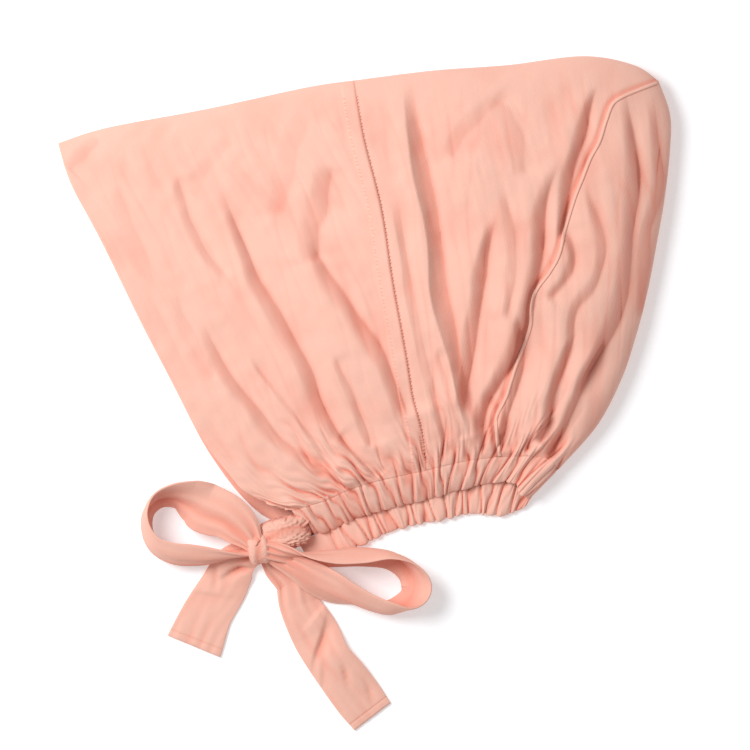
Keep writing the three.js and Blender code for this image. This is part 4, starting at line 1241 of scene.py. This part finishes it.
def tie_piece(name, rows, reach, count, gathers, gather_reach, seed, free_end, crease, dents):
    """A length of tie through its rows, gathered at the knot, with dents that are steep on one side."""
    rows = np.array(rows, float)
    knot_place = lump_frame(KNOT)[0]
    points = np.column_stack([knot_place[:2] + rows[:, :2] * reach, rows[:, 2] * TIE_WIDTH])
    places, tangent = tie_path(points, count)
    share = np.linspace(0, 1, count)[:, None]
    width, turn, cup = (smooth_value(rows[:, column], share) for column in (3, 4, 5))
    width, cup, turn = width * TIE_WIDTH, cup * TIE_WIDTH, np.radians(turn)
    aside = unit(np.cross((0, 0, 1), tangent))
    above = np.cross(tangent, aside)
    across = aside * np.cos(turn) + above * np.sin(turn)
    out = above * np.cos(turn) - aside * np.sin(turn)
    level = (TIE_THICKNESS + np.abs(cup)) * np.cos(turn) ** 2
    lowest = (width * np.abs(np.sin(turn)) + level) / 2
    places[:, 2] = np.maximum(places[:, 2], lowest[:, 0])
    walked = lengths_along(places)[:, None]
    length = walked[-1, 0]
    to_end = length - walked
    from_knot = walked if free_end else np.minimum(walked, to_end)

    angle = round_turns(TIE_SIDES) + math.pi / TIE_SIDES
    side = np.cos(angle)[None]
    bulge = blunt(np.sin(angle), RIM_POWER)[None]
    gathered_share = np.exp(-from_knot / gather_reach)
    inside = 1 - np.abs(side) ** RIM_CALM
    stray = COMB_STRAY * np.sin(seed + COMB_STRAY_RATE * side)
    comb = np.cos(math.pi * gathers * (side + stray) + seed) * gathered_share * inside
    soft = ripple(side * width * SOFT_STRETCH[0], walked * SOFT_STRETCH[1], SOFT_SIZE, seed)
    soft = soft * inside * (1 - gathered_share)
    thick = TIE_THICKNESS / 2 * (1 - GATHERED_THINNING * gathered_share)
    if free_end:
        rounded = 1 - np.clip(1 - to_end / END_ROUNDING, 0, None) ** 2
        thick = thick * np.sqrt(np.clip(rounded, END_THICKNESS, 1))
    height = thick * bulge + cup * (0.5 - side * side) + COMB_RISE * comb + SOFT_RISE * soft
    # Painted shade in the gathers' valleys and all over them, in the soft waves' low parts and on the
    # loops' inner faces.
    painted_shade = COMB_SHADE[0] * np.clip(-comb, 0, 1) + COMB_SHADE[1] * gathered_share
    painted_shade = painted_shade + SOFT_SHADE * np.clip(-soft, 0, 1)
    painted_shade = painted_shade + INNER_FACE_SHADE * np.clip(bulge, 0, 1) * smooth_step(2 * np.abs(np.sin(turn)) - 1)
    if crease:
        crease_side, crease_depth = crease
        furrow = np.exp(-np.abs(side - crease_side) / FURROW_SPREAD)
        furrow = furrow * smooth_step(share * FURROW_FADE * (1 - share))
        height = height - crease_depth * MM * furrow
        painted_shade = painted_shade + FURROW_SHADE * furrow
    if free_end:
        hem = bell(to_end, TIE_HEM, HEM_WIDTH)
        height = height - HEM_DEPTH * hem * (bulge > 0)
        painted_shade = painted_shade + LIGHT_SHADE * hem
    drop, dent_painted_shade = dented(dents, share, side, length, width)
    rings = places[:, None] + across[:, None] * (width / 2 * side)[..., None]
    rings = rings + out[:, None] * (height - drop)[..., None]
    rings[..., 2] = np.maximum(rings[..., 2], 0)
    knit = np.stack(np.broadcast_arrays(side * width / 2, walked), -1)
    return lofted(name, keep_off(rings, KNOT, CROSSING), painted_shade + dent_painted_shade, knit), length


# Columns: the node, its rows and its reach from the knot in mm; how many rings it has; how many small
# pleats at the knot and their reach in mm; the seed; whether one end is free; where across it a lengthwise
# crease lies and how deep that is in mm; and its dents.
ties = [
    ("left_loop", LEFT_LOOP, 64, 260, 3, 22, 1, False, (0.3, 1.6), []),
    ("right_loop", RIGHT_LOOP, 95, 300, 3, 26, 2, False, (-0.25, 1.9), []),
    ("short_tail", SHORT_TAIL, 64, 200, 2, 9, 3, True, (), SHORT_DENTS),
    ("long_tail", LONG_TAIL, 107, 280, 3, 22, 5, True, (), LONG_DENTS),
]
for node, rows, reach, count, gathers, gather_reach, seed, free_end, crease, dents in ties:
    piece, length = tie_piece(
        node + "_cloth", rows, reach * MM, count, gathers, gather_reach * MM, seed, free_end, crease, dents
    )
    dressed(piece, tie_jersey, node)

# Table, light and camera
# A plain white table under a large soft light from the upper left, seen from straight above.

PHOTO_WIDTH = 405 * MM
CAMERA_HEIGHT = 3.0
TABLE_REACH = 3.0
view_middle = Vector((5.6 * MM, 10.3 * MM, 0))

corners = [(-1, -1), (1, -1), (1, 1), (-1, 1)]
table_mesh = bpy.data.meshes.new("table")
table_mesh.from_pydata([(x * TABLE_REACH, y * TABLE_REACH, 0) for x, y in corners], [], [(0, 1, 2, 3)])
table = bpy.data.objects.new("table", table_mesh)
bpy.context.collection.objects.link(table)
white = Shader("white_table")
white.surface({
    "Base Color": (0.85, 0.85, 0.87, 1),
    "Roughness": 0.9,
    "Emission Color": (1, 1, 1, 1),
    "Emission Strength": 0.28,
})
table_mesh.materials.append(white.material)

lamp_data = bpy.data.lights.new("window_light", "AREA")
lamp_data.shape = "DISK"
lamp_data.size = 0.8
lamp_data.energy = 17
lamp = bpy.data.objects.new("window_light", lamp_data)
lamp.location = (-0.8, 0.42, 1.12)
lamp.rotation_euler = (-lamp.location).to_track_quat("-Z", "Y").to_euler()
bpy.context.collection.objects.link(lamp)
world = bpy.data.worlds.new("soft_room")
world.use_nodes = True
background = world.node_tree.nodes["Background"]
background.inputs["Color"].default_value = (1, 1, 1, 1)
background.inputs["Strength"].default_value = 0.46
bpy.context.scene.world = world
bpy.context.scene.view_settings.view_transform = "Standard"

camera_data = bpy.data.cameras.new("camera")
camera_data.lens = camera_data.sensor_width * CAMERA_HEIGHT / PHOTO_WIDTH
camera = bpy.data.objects.new("camera", camera_data)
camera.location = view_middle + Vector((0, 0, CAMERA_HEIGHT))
bpy.context.collection.objects.link(camera)
bpy.context.scene.camera = camera
